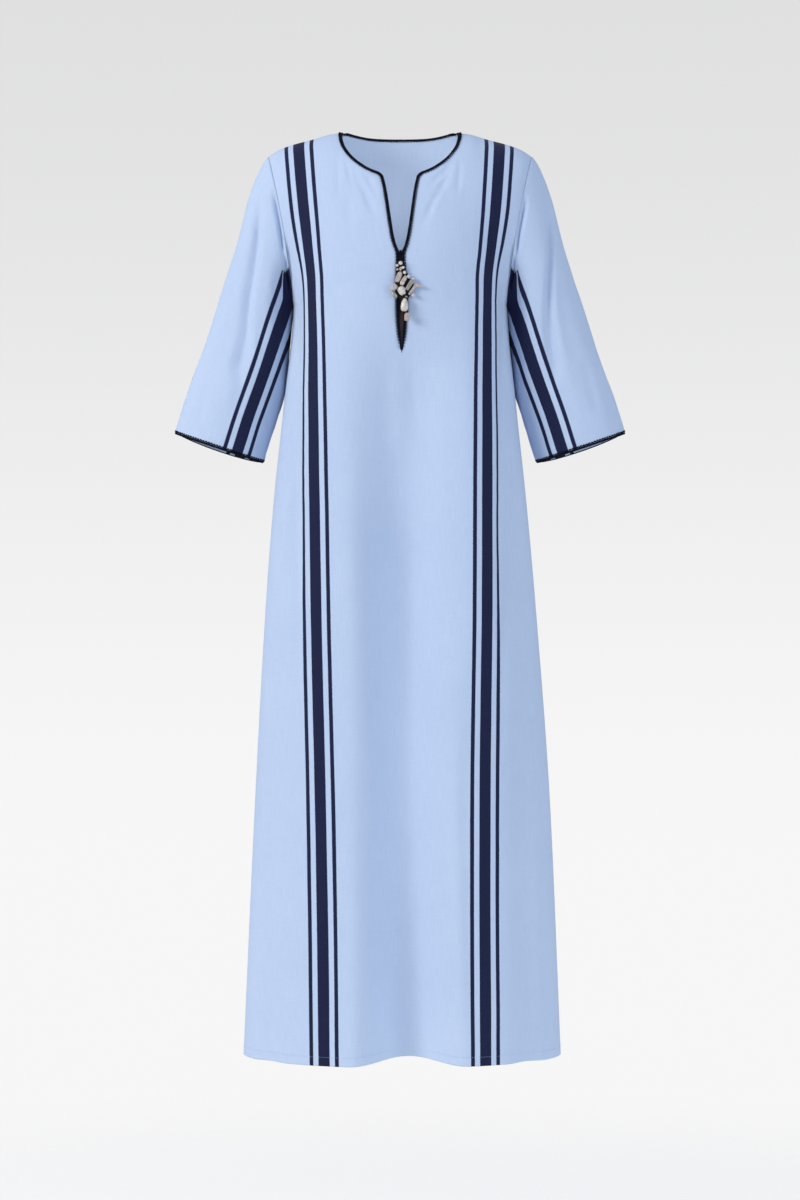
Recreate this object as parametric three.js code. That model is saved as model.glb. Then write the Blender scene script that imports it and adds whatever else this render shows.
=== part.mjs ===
// A long kaftan dress, hollow, as it hangs when it is worn.
//
// Millimetres, +Z up. X runs across the shoulders, the front faces -Y. The origin is the middle of
// the shoulder line, where the wearer's shoulders hold the dress up.
import * as THREE from "three";

// ---------------------------------------------------------------- driving sizes
const WALL = 1.5; // cloth and its seam allowances
const SEAM_GAP = 0.3;
const HEM_Z = -1373.5;
const SHOULDER_ROUND = 190; // height over which the shoulder rounds into the chest

const ARMHOLE = { topX: 197, topZ: -30, bottomX: 159.8, bottomZ: -255, front: 62, back: 66, sweep: 1.5 };

// The shoulder line, seen from the front.
const CREST = [
  { x: 0, z: 7 },
  { x: 60, z: 7 },
  { x: 88, z: 5 },
  { x: 104, z: 3 },
  { x: 130, z: -4.5 },
  { x: 159, z: -12 },
  { x: 180, z: -19.5 },
  { x: 197, z: -30 },
];
const NAPE = { rise: 27, halfWidth: 92, power: 1.3 }; // the back neck stands up on the nape
const EDGE_REACH = 5; // how fast the depth of the armhole dies away into the panel at the underarm
const ARMHOLE_LEAN = 0.25; // how far the armhole's seam leans outward at the shoulder
const SHOULDER_POWER = 1.25; // roundness of the chest's cross-section up at the shoulder line
const TOP_SHARE = 0.9995; // just under the armhole's top, where its depth is still defined

// Side seams below the armholes, and the depth of the front and back at the centre.
const BODY = [
  { z: 10, left: 160, right: 160, front: 104, back: 104, power: 2.3 },
  { z: -90, left: 160, right: 160, front: 110, back: 106, power: 2.4 },
  { z: -255, left: 159.8, right: 160.8, front: 117, back: 108, power: 2.6 },
  { z: -390, left: 172.5, right: 172.5, front: 118, back: 107, power: 2.55 },
  { z: -545, left: 189, right: 189, front: 118, back: 109, power: 2.45 },
  { z: -700, left: 201, right: 203, front: 120, back: 114, power: 2.3 },
  { z: -1000, left: 217.5, right: 225, front: 126, back: 122, power: 2.15 },
  { z: HEM_Z, left: 234.5, right: 241, front: 132, back: 132, power: 2.05 },
];

// Soft vertical folds: x and half width at the top and at the hem, depth at its two ends.
const FRONT_FOLDS = [
  { topZ: -300, x0: -16, x1: 12, half0: 62, half1: 88, depth0: 0, depth1: 62, grow: 0.9 },
  { topZ: -420, x0: 176, x1: 186, half0: 20, half1: 30, depth0: 0, depth1: 7, grow: 1 },
  { topZ: -520, x0: -182, x1: -190, half0: 20, half1: 28, depth0: 0, depth1: 6, grow: 1 },
];
const BACK_FOLDS = [
  { topZ: -240, x0: -70, x1: -88, half0: 46, half1: 58, depth0: 0, depth1: 34, grow: 0.9 },
  { topZ: -330, x0: 62, x1: 74, half0: 44, half1: 62, depth0: 0, depth1: 40, grow: 0.9 },
  { topZ: -520, x0: -182, x1: -188, half0: 22, half1: 30, depth0: 0, depth1: 8, grow: 1 },
];
const HEM_LIFT = 7; // the hem rises where the front fold draws it in
const HEM_LIFT_POWER = 6; // how near the hem that starts

// The crease beside each stripe, where the front turns to the side.
const SIDE_CREASE = { x: 139, rise: 12, depth: 11, topZ: -150, fullZ: -300, fadeZ: -560, endZ: -860 };

// The braid's centre line round the front neck, from the slit's corner to the shoulder.
const NECK_FRONT = [
  { x: 26.6, z: -72 },
  { x: 31.5, z: -67.5 },
  { x: 41.2, z: -63.4 },
  { x: 54.5, z: -55.7 },
  { x: 69, z: -43.8 },
  { x: 78, z: -32.6 },
  { x: 83.8, z: -22.2 },
  { x: 87.4, z: -9 },
  { x: 88.2, z: 0.5 },
];
const NECK_SIDE = { x: 87, z: 5.1 };
const CORNER_DROP = 4; // the cloth's corner at the top of the slit lies this far under the braid's
const NECK_BACK = [
  { x: 80.5, z: 7.2 },
  { x: 68, z: 6.4 },
  { x: 52, z: 4.8 },
  { x: 38, z: 4.2 },
  { x: 19, z: 4.1 },
  { x: 0, z: 4.1 },
];

// The slit: half the distance between the braids' centre lines, and the slit's own middle.
const SLIT = [
  { z: -72, half: 26.6, middle: 0 },
  { z: -88, half: 22.8, middle: 0.2 },
  { z: -112, half: 19, middle: 0.4 },
  { z: -136.5, half: 15.6, middle: 0.5 },
  { z: -163.5, half: 11.3, middle: 0.6 },
  { z: -181, half: 6.5, middle: 0.7 },
  { z: -187, half: 3.6, middle: 0.8 },
  { z: -203, half: 3.6, middle: 1 },
  { z: -232, half: 4.8, middle: 1.5 },
  { z: -270, half: 5, middle: 2 },
  { z: -293, half: 4.6, middle: 2.2 },
  { z: -309, half: 3.7, middle: 2.4 },
  { z: -318, half: 2.5, middle: 2.5 },
];
const SLIT_END = { z: -323, clothZ: -332 };
const BRAID = { halfWidth: 2.1, halfThick: 1.2, sides: 6, clothGap: 0.5 };

// Sleeves: the outer and the inner fold, seen from the front, and half the depth between them.
const SLEEVE_OUTER = [
  { x: 197, z: -30 },
  { x: 206, z: -43 },
  { x: 216, z: -64.5 },
  { x: 226.5, z: -94.5 },
  { x: 246, z: -169.5 },
  { x: 270, z: -244.5 },
  { x: 294, z: -319.5 },
  { x: 321, z: -394.5 },
  { x: 336, z: -441 },
];
const SLEEVE_INNER = [
  { x: 159.8, z: -255 },
  { x: 163.6, z: -275 },
  { x: 167, z: -305 },
  { x: 171.5, z: -345 },
  { x: 177.5, z: -392 },
  { x: 187, z: -430 },
  { x: 204, z: -485 },
];
const SLEEVE_DEPTH = [
  { f: 0, half: 62 },
  { f: 0.3, half: 59 },
  { f: 0.65, half: 52 },
  { f: 1, half: 45 },
];
const SLEEVE_FOLDS = [
  { phi: 128, spread: 34, f: 0.13, reach: 0.24, depth: 11 },
  { phi: 232, spread: 34, f: 0.15, reach: 0.26, depth: 10 },
  { phi: 60, spread: 22, f: 0.55, reach: 0.35, depth: 2.5 },
  { phi: 292, spread: 24, f: 0.5, reach: 0.4, depth: 3 },
];
const SLEEVE_FOLD_START = 0.04; // share of the sleeve over which its folds grow from the seam
const CAP_REACH = 0.4; // share of the sleeve over which the armhole's shape dies away
const CUFF_BOW = 2.5; // the cuff edge bows down at its middle

// The ornament, seen from the front: x and z of each bead, half sizes along and across it, tilt in
// degrees up from the X axis.
const BEADS = [
  { name: "bead_top", x: 0.8, z: -204.2, along: 2.9, across: 2.7, tilt: 0 },
  { name: "bead_top_left", x: -4.2, z: -207.6, along: 1.9, across: 1.8, tilt: 0 },
  { name: "bead_top_right", x: 4.4, z: -210.4, along: 2, across: 1.9, tilt: 0 },
  { name: "bead_second_left", x: -3.9, z: -213.2, along: 1.8, across: 1.7, tilt: 0 },
  { name: "bead_gold", x: 0.9, z: -212.6, along: 3.2, across: 1.7, tilt: 85 },
  { name: "bead_chain_upper", x: 6.4, z: -217.5, along: 2.3, across: 2.1, tilt: -30 },
  { name: "bead_chain_middle", x: 12.4, z: -223.4, along: 2.7, across: 2.2, tilt: -30 },
  { name: "stone_left", x: -1.4, z: -223.6, along: 7.6, across: 3.4, tilt: 66 },
  { name: "stone_centre", x: 5.3, z: -229.2, along: 7.6, across: 3.2, tilt: 62 },
  { name: "bar_long", x: 14.3, z: -235.4, along: 9.3, across: 3.2, tilt: 58 },
  { name: "bar_thin", x: 18.3, z: -242.4, along: 9.4, across: 1.7, tilt: 52 },
  { name: "pearl_left", x: -8.6, z: -239.6, along: 5.2, across: 4.2, tilt: 35 },
  { name: "stone_round", x: 3.2, z: -243.6, along: 6.9, across: 5.9, tilt: -55 },
  { name: "leaf_left", x: -6.8, z: -250.2, along: 5, across: 2.8, tilt: -42 },
  { name: "spike_right", x: 29.2, z: -237.6, along: 5, across: 2.7, tilt: -10 },
  { name: "bead_lower_right", x: 21.2, z: -252.4, along: 2.8, across: 2.6, tilt: 0 },
  { name: "bead_small_low", x: 10.6, z: -252.3, along: 2.1, across: 1.5, tilt: 0 },
  { name: "drop_pearl", x: 6.4, z: -265.4, along: 10, across: 5.4, tilt: 88 },
  { name: "drop_disc", x: 10.4, z: -283.3, along: 6.6, across: 4.6, tilt: 84 },
];
const BEAD_SEAT = 0.3;
// Half the depth of a bead is a share of its smaller half size, and a little more.
const BEAD_DEPTH = { share: 0.62, more: 0.8 };
const BEAD_GAP = 0.4; // between the backing and the braid
const BEAD_MESH = { around: 10, along: 7 };
const BACKING = {
  thick: 1.2,
  outline: [
    { x: -3.4, z: -201 },
    { x: 3.8, z: -201 },
    { x: 17.5, z: -224 },
    { x: 25.6, z: -237 },
    { x: 22, z: -252 },
    { x: 14, z: -258 },
    { x: 14, z: -286 },
    { x: 6.6, z: -286 },
    { x: 2.4, z: -262 },
    { x: -8, z: -252 },
    { x: -10.6, z: -240 },
  ],
};
const TACK = { halfWidth: 1.15, thick: 1.6, topZ: -184.5, bottomZ: -192.5 };
const UNDERLAY = { halfWidth: 10.5, thick: 1.2, topZ: -186, bottomZ: -338, rows: 10, gap: 0.7 };

// Mesh fineness.
const HALF_COLUMNS = 13;
const NECK_COLUMNS = 6;
const UPPER_ROWS = 11;
const SLIT_ROWS = 6; // from the underarm to the end of the slit
const LOWER_ROWS = 11;
const SLEEVE_AROUND = 24;
const SLEEVE_RINGS = 11;
const COLUMN_SPREAD = 0.85; // columns stand closer towards the side seam
const ROW_SPREAD = 1.2; // rows stand closer towards the neck
const RING_SPREAD = 1.15; // rings stand closer towards the armhole
const BRAID_STEPS = { slit: 22, frontNeck: 14, backNeck: 10 };

const COLOURS = { cloth: 0xaecbf2, braid: 0x0b1020, underlay: 0x3f3234, bead: 0xcfc8bf, gold: 0xb99d76 };
const ROUGHNESS = { cloth: 0.85, bead: 0.35 };

// ---------------------------------------------------------------- small tools
const clamp01 = (v) => Math.min(1, Math.max(0, v));
const mix = (a, b, t) => a + (b - a) * t;
const smooth = (t) => clamp01(t) ** 2 * (3 - 2 * clamp01(t));
const hump = (s) => (Math.abs(s) < 1 ? Math.cos((s * Math.PI) / 2) ** 2 : 0);

// Value of column `value` of a table at `at`, along a smooth curve through its rows.
function lookUp(rows, key, value, at) {
  const up = rows[rows.length - 1][key] > rows[0][key] ? 1 : -1;
  const k = rows.map((row) => row[key] * up);
  const v = rows.map((row) => row[value]);
  const x = Math.min(k[k.length - 1], Math.max(k[0], at * up));
  let i = 0;
  while (i < k.length - 2 && x > k[i + 1]) i += 1;
  const slope = (j) => {
    if (j <= 0 || j >= k.length - 1) {
      const a = Math.min(Math.max(j - (j > 0 ? 1 : 0), 0), k.length - 2);
      return (v[a + 1] - v[a]) / (k[a + 1] - k[a]);
    }
    const before = (v[j] - v[j - 1]) / (k[j] - k[j - 1]);
    const after = (v[j + 1] - v[j]) / (k[j + 1] - k[j]);
    return before * after <= 0 ? 0 : (2 * before * after) / (before + after);
  };
  const h = k[i + 1] - k[i];
  const t = (x - k[i]) / h;
  const [m0, m1] = [slope(i) * h, slope(i + 1) * h];
  const a = 2 * t ** 3 - 3 * t ** 2 + 1;
  const b = t ** 3 - 2 * t ** 2 + t;
  return a * v[i] + b * m0 + (1 - a) * v[i + 1] + (t ** 3 - t ** 2) * m1;
}

// A point a share `t` along a smooth line through { x, z } rows, evenly by length.
class Route {
  constructor(rows) {
    const points = rows.map((row) => new THREE.Vector3(row.x, 0, row.z));
    this.curve = new THREE.CatmullRomCurve3(points, false, "centripetal");
    this.curve.arcLengthDivisions = 400;
  }

  at(t) {
    const p = this.curve.getPointAt(clamp01(t));
    return { x: p.x, z: p.z };
  }
}

// Cloth as a surface of quads with shared points, which then gets its wall.
class Cloth {
  constructor() {
    this.points = [];
    this.normals = [];
    this.faces = [];
    this.index = new Map();
  }

  point(p, normal = null) {
    const key = [p.x, p.y, p.z].map((v) => Math.round(v * 1000)).join();
    if (!this.index.has(key)) {
      this.index.set(key, this.points.length);
      this.points.push(p.clone());
      this.normals.push(normal);
    } else if (normal) {
      this.normals[this.index.get(key)] = normal;
    }
    return this.index.get(key);
  }

  quad(a, b, c, d) {
    for (const face of [[a, b, c], [a, c, d]]) {
      if (new Set(face).size === 3) this.faces.push(face);
    }
  }

  // Rows of points as quads; `flip` turns the face over.
  grid(rows, flip) {
    for (let i = 0; i + 1 < rows.length; i += 1) {
      for (let j = 0; j + 1 < rows[i].length; j += 1) {
        const q = [rows[i][j], rows[i][j + 1], rows[i + 1][j + 1], rows[i + 1][j]];
        this.quad(...(flip ? q.reverse() : q));
      }
    }
  }

  // The closed solid: this surface outside, the same moved in by the wall, and rims between them.
  solid(wall) {
    const sums = this.points.map(() => new THREE.Vector3());
    for (const [a, b, c] of this.faces) {
      const ab = this.points[b].clone().sub(this.points[a]);
      const ac = this.points[c].clone().sub(this.points[a]);
      const n = ab.cross(ac);
      for (const i of [a, b, c]) sums[i].add(n);
    }
    const inner = this.points.map((p, i) => {
      const n = (this.normals[i] ?? sums[i]).clone().normalize();
      return p.clone().addScaledVector(n, -wall);
    });
    const count = this.points.length;
    const triangles = [];
    const edges = new Map();
    for (const [a, b, c] of this.faces) {
      triangles.push(a, b, c, a + count, c + count, b + count);
      for (const [from, to] of [[a, b], [b, c], [c, a]]) edges.set(`${from},${to}`, [from, to]);
    }
    for (const [from, to] of edges.values()) {
      if (edges.has(`${to},${from}`)) continue;
      triangles.push(to, from, from + count, to, from + count, to + count);
    }
    return geometryOf([...this.points, ...inner], triangles);
  }
}

function geometryOf(points, triangles) {
  const geometry = new THREE.BufferGeometry();
  const values = points.flatMap((p) => [p.x, p.y, p.z]);
  geometry.setAttribute("position", new THREE.Float32BufferAttribute(values, 3));
  geometry.setIndex(triangles);
  geometry.computeVertexNormals();
  return geometry;
}

// ---------------------------------------------------------------- the dress's form
const crest = (x) => lookUp(CREST, "x", "z", Math.abs(x));

function napeCrest(x) {
  const inside = clamp01(1 - (x / NAPE.halfWidth) ** 2);
  return crest(x) + NAPE.rise * inside ** NAPE.power;
}

const armholeShare = (z) => clamp01((z - ARMHOLE.bottomZ) / (ARMHOLE.topZ - ARMHOLE.bottomZ));

// The armhole: phi runs from the shoulder (0) over the front (90) to the underarm (180) and back.
function armhole(phi, side) {
  const share = (1 + Math.cos(phi)) / 2;
  const depth = Math.sin(phi) > 0 ? ARMHOLE.front : ARMHOLE.back;
  return new THREE.Vector3(
    side * mix(ARMHOLE.bottomX, ARMHOLE.topX, share ** ARMHOLE.sweep),
    -depth * Math.sin(phi),
    mix(ARMHOLE.bottomZ, ARMHOLE.topZ, share),
  );
}

const armholeNormal = (phi, side) =>
  new THREE.Vector3(side * ARMHOLE_LEAN * (1 + Math.cos(phi)), -Math.sin(phi), Math.cos(phi)).normalize();

// Where a panel ends, armhole or side seam, at height z.
function edgeX(z, side) {
  if (z < ARMHOLE.bottomZ) return lookUp(BODY, "z", side < 0 ? "left" : "right", z);
  return mix(ARMHOLE.bottomX, ARMHOLE.topX, armholeShare(z) ** ARMHOLE.sweep);
}

function shoulderRound(drop) {
  const q = clamp01(drop / SHOULDER_ROUND);
  return Math.sqrt(1 - (1 - q) ** 2);
}

function edgeDepth(z, armholeDepth) {
  if (z <= ARMHOLE.bottomZ) return 0;
  const share = Math.min(armholeShare(z), TOP_SHARE);
  const height = mix(ARMHOLE.bottomZ, ARMHOLE.topZ, share);
  const drop = crest(edgeX(height, 1)) - height;
  return (armholeDepth * 2 * Math.sqrt(share * (1 - share))) / shoulderRound(drop);
}

function foldDepth(folds, x, z) {
  let sum = 0;
  for (const fold of folds) {
    const t = clamp01((fold.topZ - z) / (fold.topZ - HEM_Z));
    const grown = mix(fold.depth0, fold.depth1, smooth(t * 3) * t ** fold.grow);
    sum += grown * hump((x - mix(fold.x0, fold.x1, t)) / mix(fold.half0, fold.half1, t));
  }
  return sum;
}

function sideCrease(x, z, edge) {
  const c = SIDE_CREASE;
  const above = smooth((c.topZ - z) / (c.topZ - c.fullZ));
  const on = above * (1 - smooth((c.fadeZ - z) / (c.fadeZ - c.endZ)));
  const rise = smooth((Math.abs(x) - c.x) / c.rise);
  const fall = 1 - smooth((Math.abs(x) - c.x - c.rise) / (edge - c.x - c.rise));
  return c.depth * on * rise * fall;
}

// Depth of the front (-Y) or back (+Y) at x, z. It is also defined inside the neck opening.
function depthAt(x, z, back) {
  const edge = edgeX(z, Math.sign(x) || 1);
  const t = Math.min(Math.abs(x) / edge, 1);
  const power = lookUp(BODY, "z", "power", z);
  const below = smooth((ARMHOLE.topZ - z) / (ARMHOLE.topZ - ARMHOLE.bottomZ));
  const roundness = mix(SHOULDER_POWER, power, below);
  const outer = edgeDepth(z, back ? ARMHOLE.back : ARMHOLE.front);
  const centre = lookUp(BODY, "z", back ? "back" : "front", z);
  const inward = (1 - t ** power) ** (1 / roundness);
  const reach = mix(1, EDGE_REACH, clamp01((crest(0) - z) / (crest(0) - ARMHOLE.bottomZ)) ** 3);
  const full = centre * inward + outer * (1 - inward) ** reach;
  const drop = (back ? napeCrest(x) : crest(x)) - z;
  const folds = foldDepth(back ? BACK_FOLDS : FRONT_FOLDS, x, z);
  const crease = back ? 0 : sideCrease(x, z, edge);
  return (shoulderRound(drop) * full - folds - crease) * (back ? 1 : -1);
}

const onFront = (x, z) => new THREE.Vector3(x, depthAt(x, z, false), z);
const onBack = (x, z) => new THREE.Vector3(x, depthAt(x, z, true), z);

const slitHalf = (z) => lookUp(SLIT, "z", "half", z);
const slitMiddle = (z) => lookUp(SLIT, "z", "middle", z);

// Half the width of the slit between the cloth edges, 0 below its end.
function clothSlit(z) {
  if (z <= SLIT_END.clothZ) return 0;
  const full = slitHalf(z) + BRAID.halfWidth + BRAID.clothGap;
  const closing = clamp01((z - SLIT_END.clothZ) / (SLIT_END.z - SLIT_END.clothZ + 1));
  return full * Math.sqrt(1 - (1 - closing) ** 2);
}

// ---------------------------------------------------------------- panels
const frontNeck = new Route([...NECK_FRONT, NECK_SIDE]);
const backNeck = new Route([...NECK_BACK].reverse().concat([NECK_SIDE]));

// The cloth edge beside the braid: the neck line moved out from the opening.
function neckEdge(route, t) {
  const step = 0.01;
  const a = route.at(t - step);
  const b = route.at(t + step);
  const p = route.at(t);
  const length = Math.hypot(b.x - a.x, b.z - a.z);
  const away = BRAID.halfWidth + BRAID.clothGap;
  return { x: p.x + ((b.z - a.z) / length) * away, z: p.z - ((b.x - a.x) / length) * away };
}

// One half panel as rows of { x, z }, from neck and shoulder down to the hem.
function halfPanel(side, back) {
  const route = back ? backNeck : frontNeck;
  const crestStart = NECK_SIDE.x + BRAID.halfWidth + BRAID.clothGap;
  const inner = (z) => (back ? 0 : slitMiddle(z) + side * clothSlit(z));
  const columns = Array.from({ length: HALF_COLUMNS + 1 }, (_, j) => j / HALF_COLUMNS);
  const spread = (c) => Math.sin((c * Math.PI) / 2) ** COLUMN_SPREAD;
  const top = columns.map((_, j) => {
    if (j < NECK_COLUMNS) {
      const p = neckEdge(route, j / NECK_COLUMNS);
      return { x: side * p.x, z: p.z };
    }
    const t = (j - NECK_COLUMNS) / (HALF_COLUMNS - NECK_COLUMNS);
    const x = mix(crestStart, ARMHOLE.topX, t);
    return { x: side * x, z: crest(x) };
  });
  if (back) top[0].x = 0;
  const start = back ? top[0].z : NECK_FRONT[0].z - CORNER_DROP;
  if (!back) top[0] = { x: inner(start), z: start };
  const rows = [];
  for (let i = 0; i < UPPER_ROWS; i += 1) {
    const r = i / UPPER_ROWS;
    const phi = Math.PI * r;
    const edge = armhole(back ? -phi : phi, side);
    const innerZ = mix(start, ARMHOLE.bottomZ, r ** ROW_SPREAD);
    const row = columns.map((c, j) => {
      const bottom = mix(inner(ARMHOLE.bottomZ), side * edgeX(ARMHOLE.bottomZ, side), spread(c));
      const w = spread(c);
      const across = { x: mix(inner(innerZ), edge.x, w), z: mix(innerZ, edge.z, w) };
      const down = { x: mix(top[j].x, bottom, r), z: mix(top[j].z, ARMHOLE.bottomZ, r ** ROW_SPREAD) };
      const corner = {
        x: mix(mix(top[0].x, top[HALF_COLUMNS].x, w), bottom, r),
        z: mix(mix(top[0].z, top[HALF_COLUMNS].z, w), ARMHOLE.bottomZ, r ** ROW_SPREAD),
      };
      return { x: across.x + down.x - corner.x, z: across.z + down.z - corner.z };
    });
    rows.push({ points: row, phi });
  }
  for (let i = 0; i <= SLIT_ROWS + LOWER_ROWS; i += 1) {
    const t = Math.max(0, (i - SLIT_ROWS) / LOWER_ROWS);
    const slitShare = Math.sin((Math.min(i / SLIT_ROWS, 1) * Math.PI) / 2);
    const z = mix(mix(ARMHOLE.bottomZ, SLIT_END.clothZ, slitShare), HEM_Z, t);
    const row = columns.map((c) => {
      const x = mix(inner(z), side * edgeX(z, side), spread(c));
      const lift = back ? 0 : (HEM_LIFT * foldDepth(FRONT_FOLDS, x, HEM_Z)) / FRONT_FOLDS[0].depth1;
      return { x, z: z + lift * t ** HEM_LIFT_POWER };
    });
    rows.push({ points: row, phi: null });
  }
  return rows;
}

function panel(back) {
  const cloth = new Cloth();
  const seam = (SEAM_GAP / 2) * (back ? 1 : -1);
  for (const side of [-1, 1]) {
    const rows = halfPanel(side, back).map(({ points, phi }, i) =>
      points.map((p, j) => {
        const last = j === HALF_COLUMNS;
        if (last && phi !== null && i > 0) {
          const turn = back ? -phi : phi;
          const at = armhole(turn, side);
          at.x -= side * SEAM_GAP;
          return cloth.point(at, armholeNormal(turn, side));
        }
        if (last && i === 0) {
          const corner = new THREE.Vector3(p.x - side * SEAM_GAP, seam, p.z);
          return cloth.point(corner, armholeNormal(0, side));
        }
        if (last) return cloth.point(new THREE.Vector3(p.x, seam, p.z), new THREE.Vector3(side, 0, 0));
        if (i === 0 && j >= NECK_COLUMNS) {
          return cloth.point(new THREE.Vector3(p.x, seam, p.z), new THREE.Vector3(0, 0, 1));
        }
        return cloth.point(back ? onBack(p.x, p.z) : onFront(p.x, p.z));
      }),
    );
    cloth.grid(rows, (side < 0) === back);
  }
  return cloth.solid(WALL);
}

// ---------------------------------------------------------------- sleeves
const sleeveOuter = new Route(SLEEVE_OUTER);
const sleeveInner = new Route(SLEEVE_INNER);

function sleevePoint(phi, f, side) {
  const outer = sleeveOuter.at(f);
  const inner = sleeveInner.at(f);
  const half = lookUp(SLEEVE_DEPTH, "f", "half", f);
  const ring = (a, b, depth) => {
    const w = (1 + Math.cos(phi)) / 2;
    return new THREE.Vector3(side * mix(b.x, a.x, w), -depth * Math.sin(phi), mix(b.z, a.z, w));
  };
  const p = ring(outer, inner, half);
  const start = ring(sleeveOuter.at(0), sleeveInner.at(0), ARMHOLE.front);
  const fade = (1 - smooth(f / CAP_REACH)) ** 2;
  p.addScaledVector(armhole(phi, side).sub(start), fade);
  const degrees = THREE.MathUtils.radToDeg(phi);
  for (const fold of SLEEVE_FOLDS) {
    const around = hump((degrees - fold.phi) / fold.spread);
    const amount = fold.depth * around * hump((f - fold.f) / fold.reach);
    const centre = new THREE.Vector3(side * (outer.x + inner.x) / 2, 0, (outer.z + inner.z) / 2);
    p.addScaledVector(centre.sub(p).normalize(), amount * smooth(f / SLEEVE_FOLD_START));
  }
  p.z -= CUFF_BOW * f ** 4 * Math.abs(Math.sin(phi));
  return p;
}

function sleeve(side) {
  const cloth = new Cloth();
  const rows = [];
  for (let k = 0; k <= SLEEVE_RINGS; k += 1) {
    const f = (k / SLEEVE_RINGS) ** RING_SPREAD;
    const row = [];
    for (let m = 0; m <= SLEEVE_AROUND; m += 1) {
      const phi = ((m % SLEEVE_AROUND) / SLEEVE_AROUND) * 2 * Math.PI;
      const p = sleevePoint(phi, f, side);
      if (k === 0) p.x += side * SEAM_GAP;
      row.push(cloth.point(p, k === 0 ? armholeNormal(phi, side) : null));
    }
    rows.push(row);
  }
  cloth.grid(rows, side > 0);
  return cloth.solid(WALL);
}

// ---------------------------------------------------------------- braids
// A closed loop of flat braid: rings of an ellipse round each point of the path.
function loopBraid(path) {
  const points = [];
  const triangles = [];
  const n = path.length;
  path.forEach(({ at, normal }, i) => {
    const along = path[(i + 1) % n].at.clone().sub(path[(i + n - 1) % n].at).normalize();
    const across = along.clone().cross(normal).normalize();
    const up = across.clone().cross(along).normalize();
    for (let s = 0; s < BRAID.sides; s += 1) {
      const a = (s / BRAID.sides) * 2 * Math.PI;
      const p = at.clone().addScaledVector(across, BRAID.halfWidth * Math.cos(a));
      points.push(p.addScaledVector(up, BRAID.halfThick * Math.sin(a)));
      const next = (s + 1) % BRAID.sides;
      const [p0, p1] = [i * BRAID.sides, ((i + 1) % n) * BRAID.sides];
      triangles.push(p0 + s, p1 + s, p1 + next, p0 + s, p1 + next, p0 + next);
    }
  });
  return outward(points, triangles);
}

// Faces turned so that the volume is positive.
function outward(points, triangles) {
  let volume = 0;
  for (let i = 0; i < triangles.length; i += 3) {
    const [a, b, c] = [0, 1, 2].map((k) => points[triangles[i + k]]);
    volume += a.dot(b.clone().cross(c));
  }
  return geometryOf(points, volume < 0 ? [...triangles].reverse() : triangles);
}

function surfaceNormal(onSurface, x, z, sign) {
  const probe = 1.5;
  const across = onSurface(x + probe, z).sub(onSurface(x - probe, z));
  const down = onSurface(x, z - probe).sub(onSurface(x, z + probe));
  return across.cross(down).multiplyScalar(-sign).normalize();
}

// The neck braid's path: from the slit's end up one side, round the neck and down the other.
function neckPath() {
  const half = [];
  const steps = BRAID_STEPS;
  for (let i = 0; i <= steps.slit; i += 1) {
    const z = mix(SLIT_END.z, NECK_FRONT[0].z, i / steps.slit);
    half.push({ x: slitHalf(z), z, middle: slitMiddle(z), back: false });
  }
  for (let i = 1; i < steps.frontNeck; i += 1) {
    half.push({ ...frontNeck.at(i / steps.frontNeck), middle: 0, back: false });
  }
  half.push({ x: NECK_SIDE.x, z: NECK_SIDE.z, middle: 0, top: true });
  for (let i = steps.backNeck - 1; i >= 0; i -= 1) {
    half.push({ ...backNeck.at(i / steps.backNeck), middle: 0, back: true });
  }
  const place = (row, side) => {
    const x = row.middle + side * row.x;
    const on = row.back ? onBack : onFront;
    if (row.top) {
      return { at: new THREE.Vector3(x, 0, row.z), normal: new THREE.Vector3(0, 0, 1) };
    }
    return { at: on(x, row.z), normal: surfaceNormal(on, x, row.z, row.back ? -1 : 1) };
  };
  const endZ = SLIT_END.z - slitHalf(SLIT_END.z);
  const end = { x: 0, z: endZ, middle: slitMiddle(SLIT_END.z), back: false };
  const left = half.map((row) => place(row, -1));
  const right = half.slice(0, -1).map((row) => place(row, 1));
  return [place(end, 1), ...left, ...right.reverse()];
}

function cuffPath(side) {
  const path = [];
  const away = WALL / 2;
  const [back, turn] = [0.03, 0.05]; // short steps up the sleeve and round the cuff
  for (let m = 0; m < SLEEVE_AROUND; m += 1) {
    const phi = (m / SLEEVE_AROUND) * 2 * Math.PI;
    const edge = sleevePoint(phi, 1, side);
    const above = sleevePoint(phi, 1 - back, side);
    const down = edge.clone().sub(above).normalize();
    const beside = sleevePoint(phi + turn, 1, side).sub(sleevePoint(phi - turn, 1, side));
    const normal = beside.cross(down).multiplyScalar(side).normalize();
    const at = edge.clone().addScaledVector(down, BRAID.halfWidth + BRAID.clothGap);
    path.push({ at: at.addScaledVector(normal, -away), normal });
  }
  return path;
}

// ---------------------------------------------------------------- ornament
const backingDepths = BACKING.outline.map((p) => depthAt(p.x, p.z, false));
const beadPlaneY = Math.min(...backingDepths) - BRAID.halfThick - BEAD_GAP;

function extrudedOutline(outline, thick, frontY) {
  const shape = new THREE.Shape(outline.map((p) => new THREE.Vector2(p.x, p.z)));
  const geometry = new THREE.ExtrudeGeometry(shape, { depth: thick, bevelEnabled: false });
  geometry.rotateX(Math.PI / 2);
  geometry.translate(0, frontY + thick, 0);
  return geometry;
}

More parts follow.
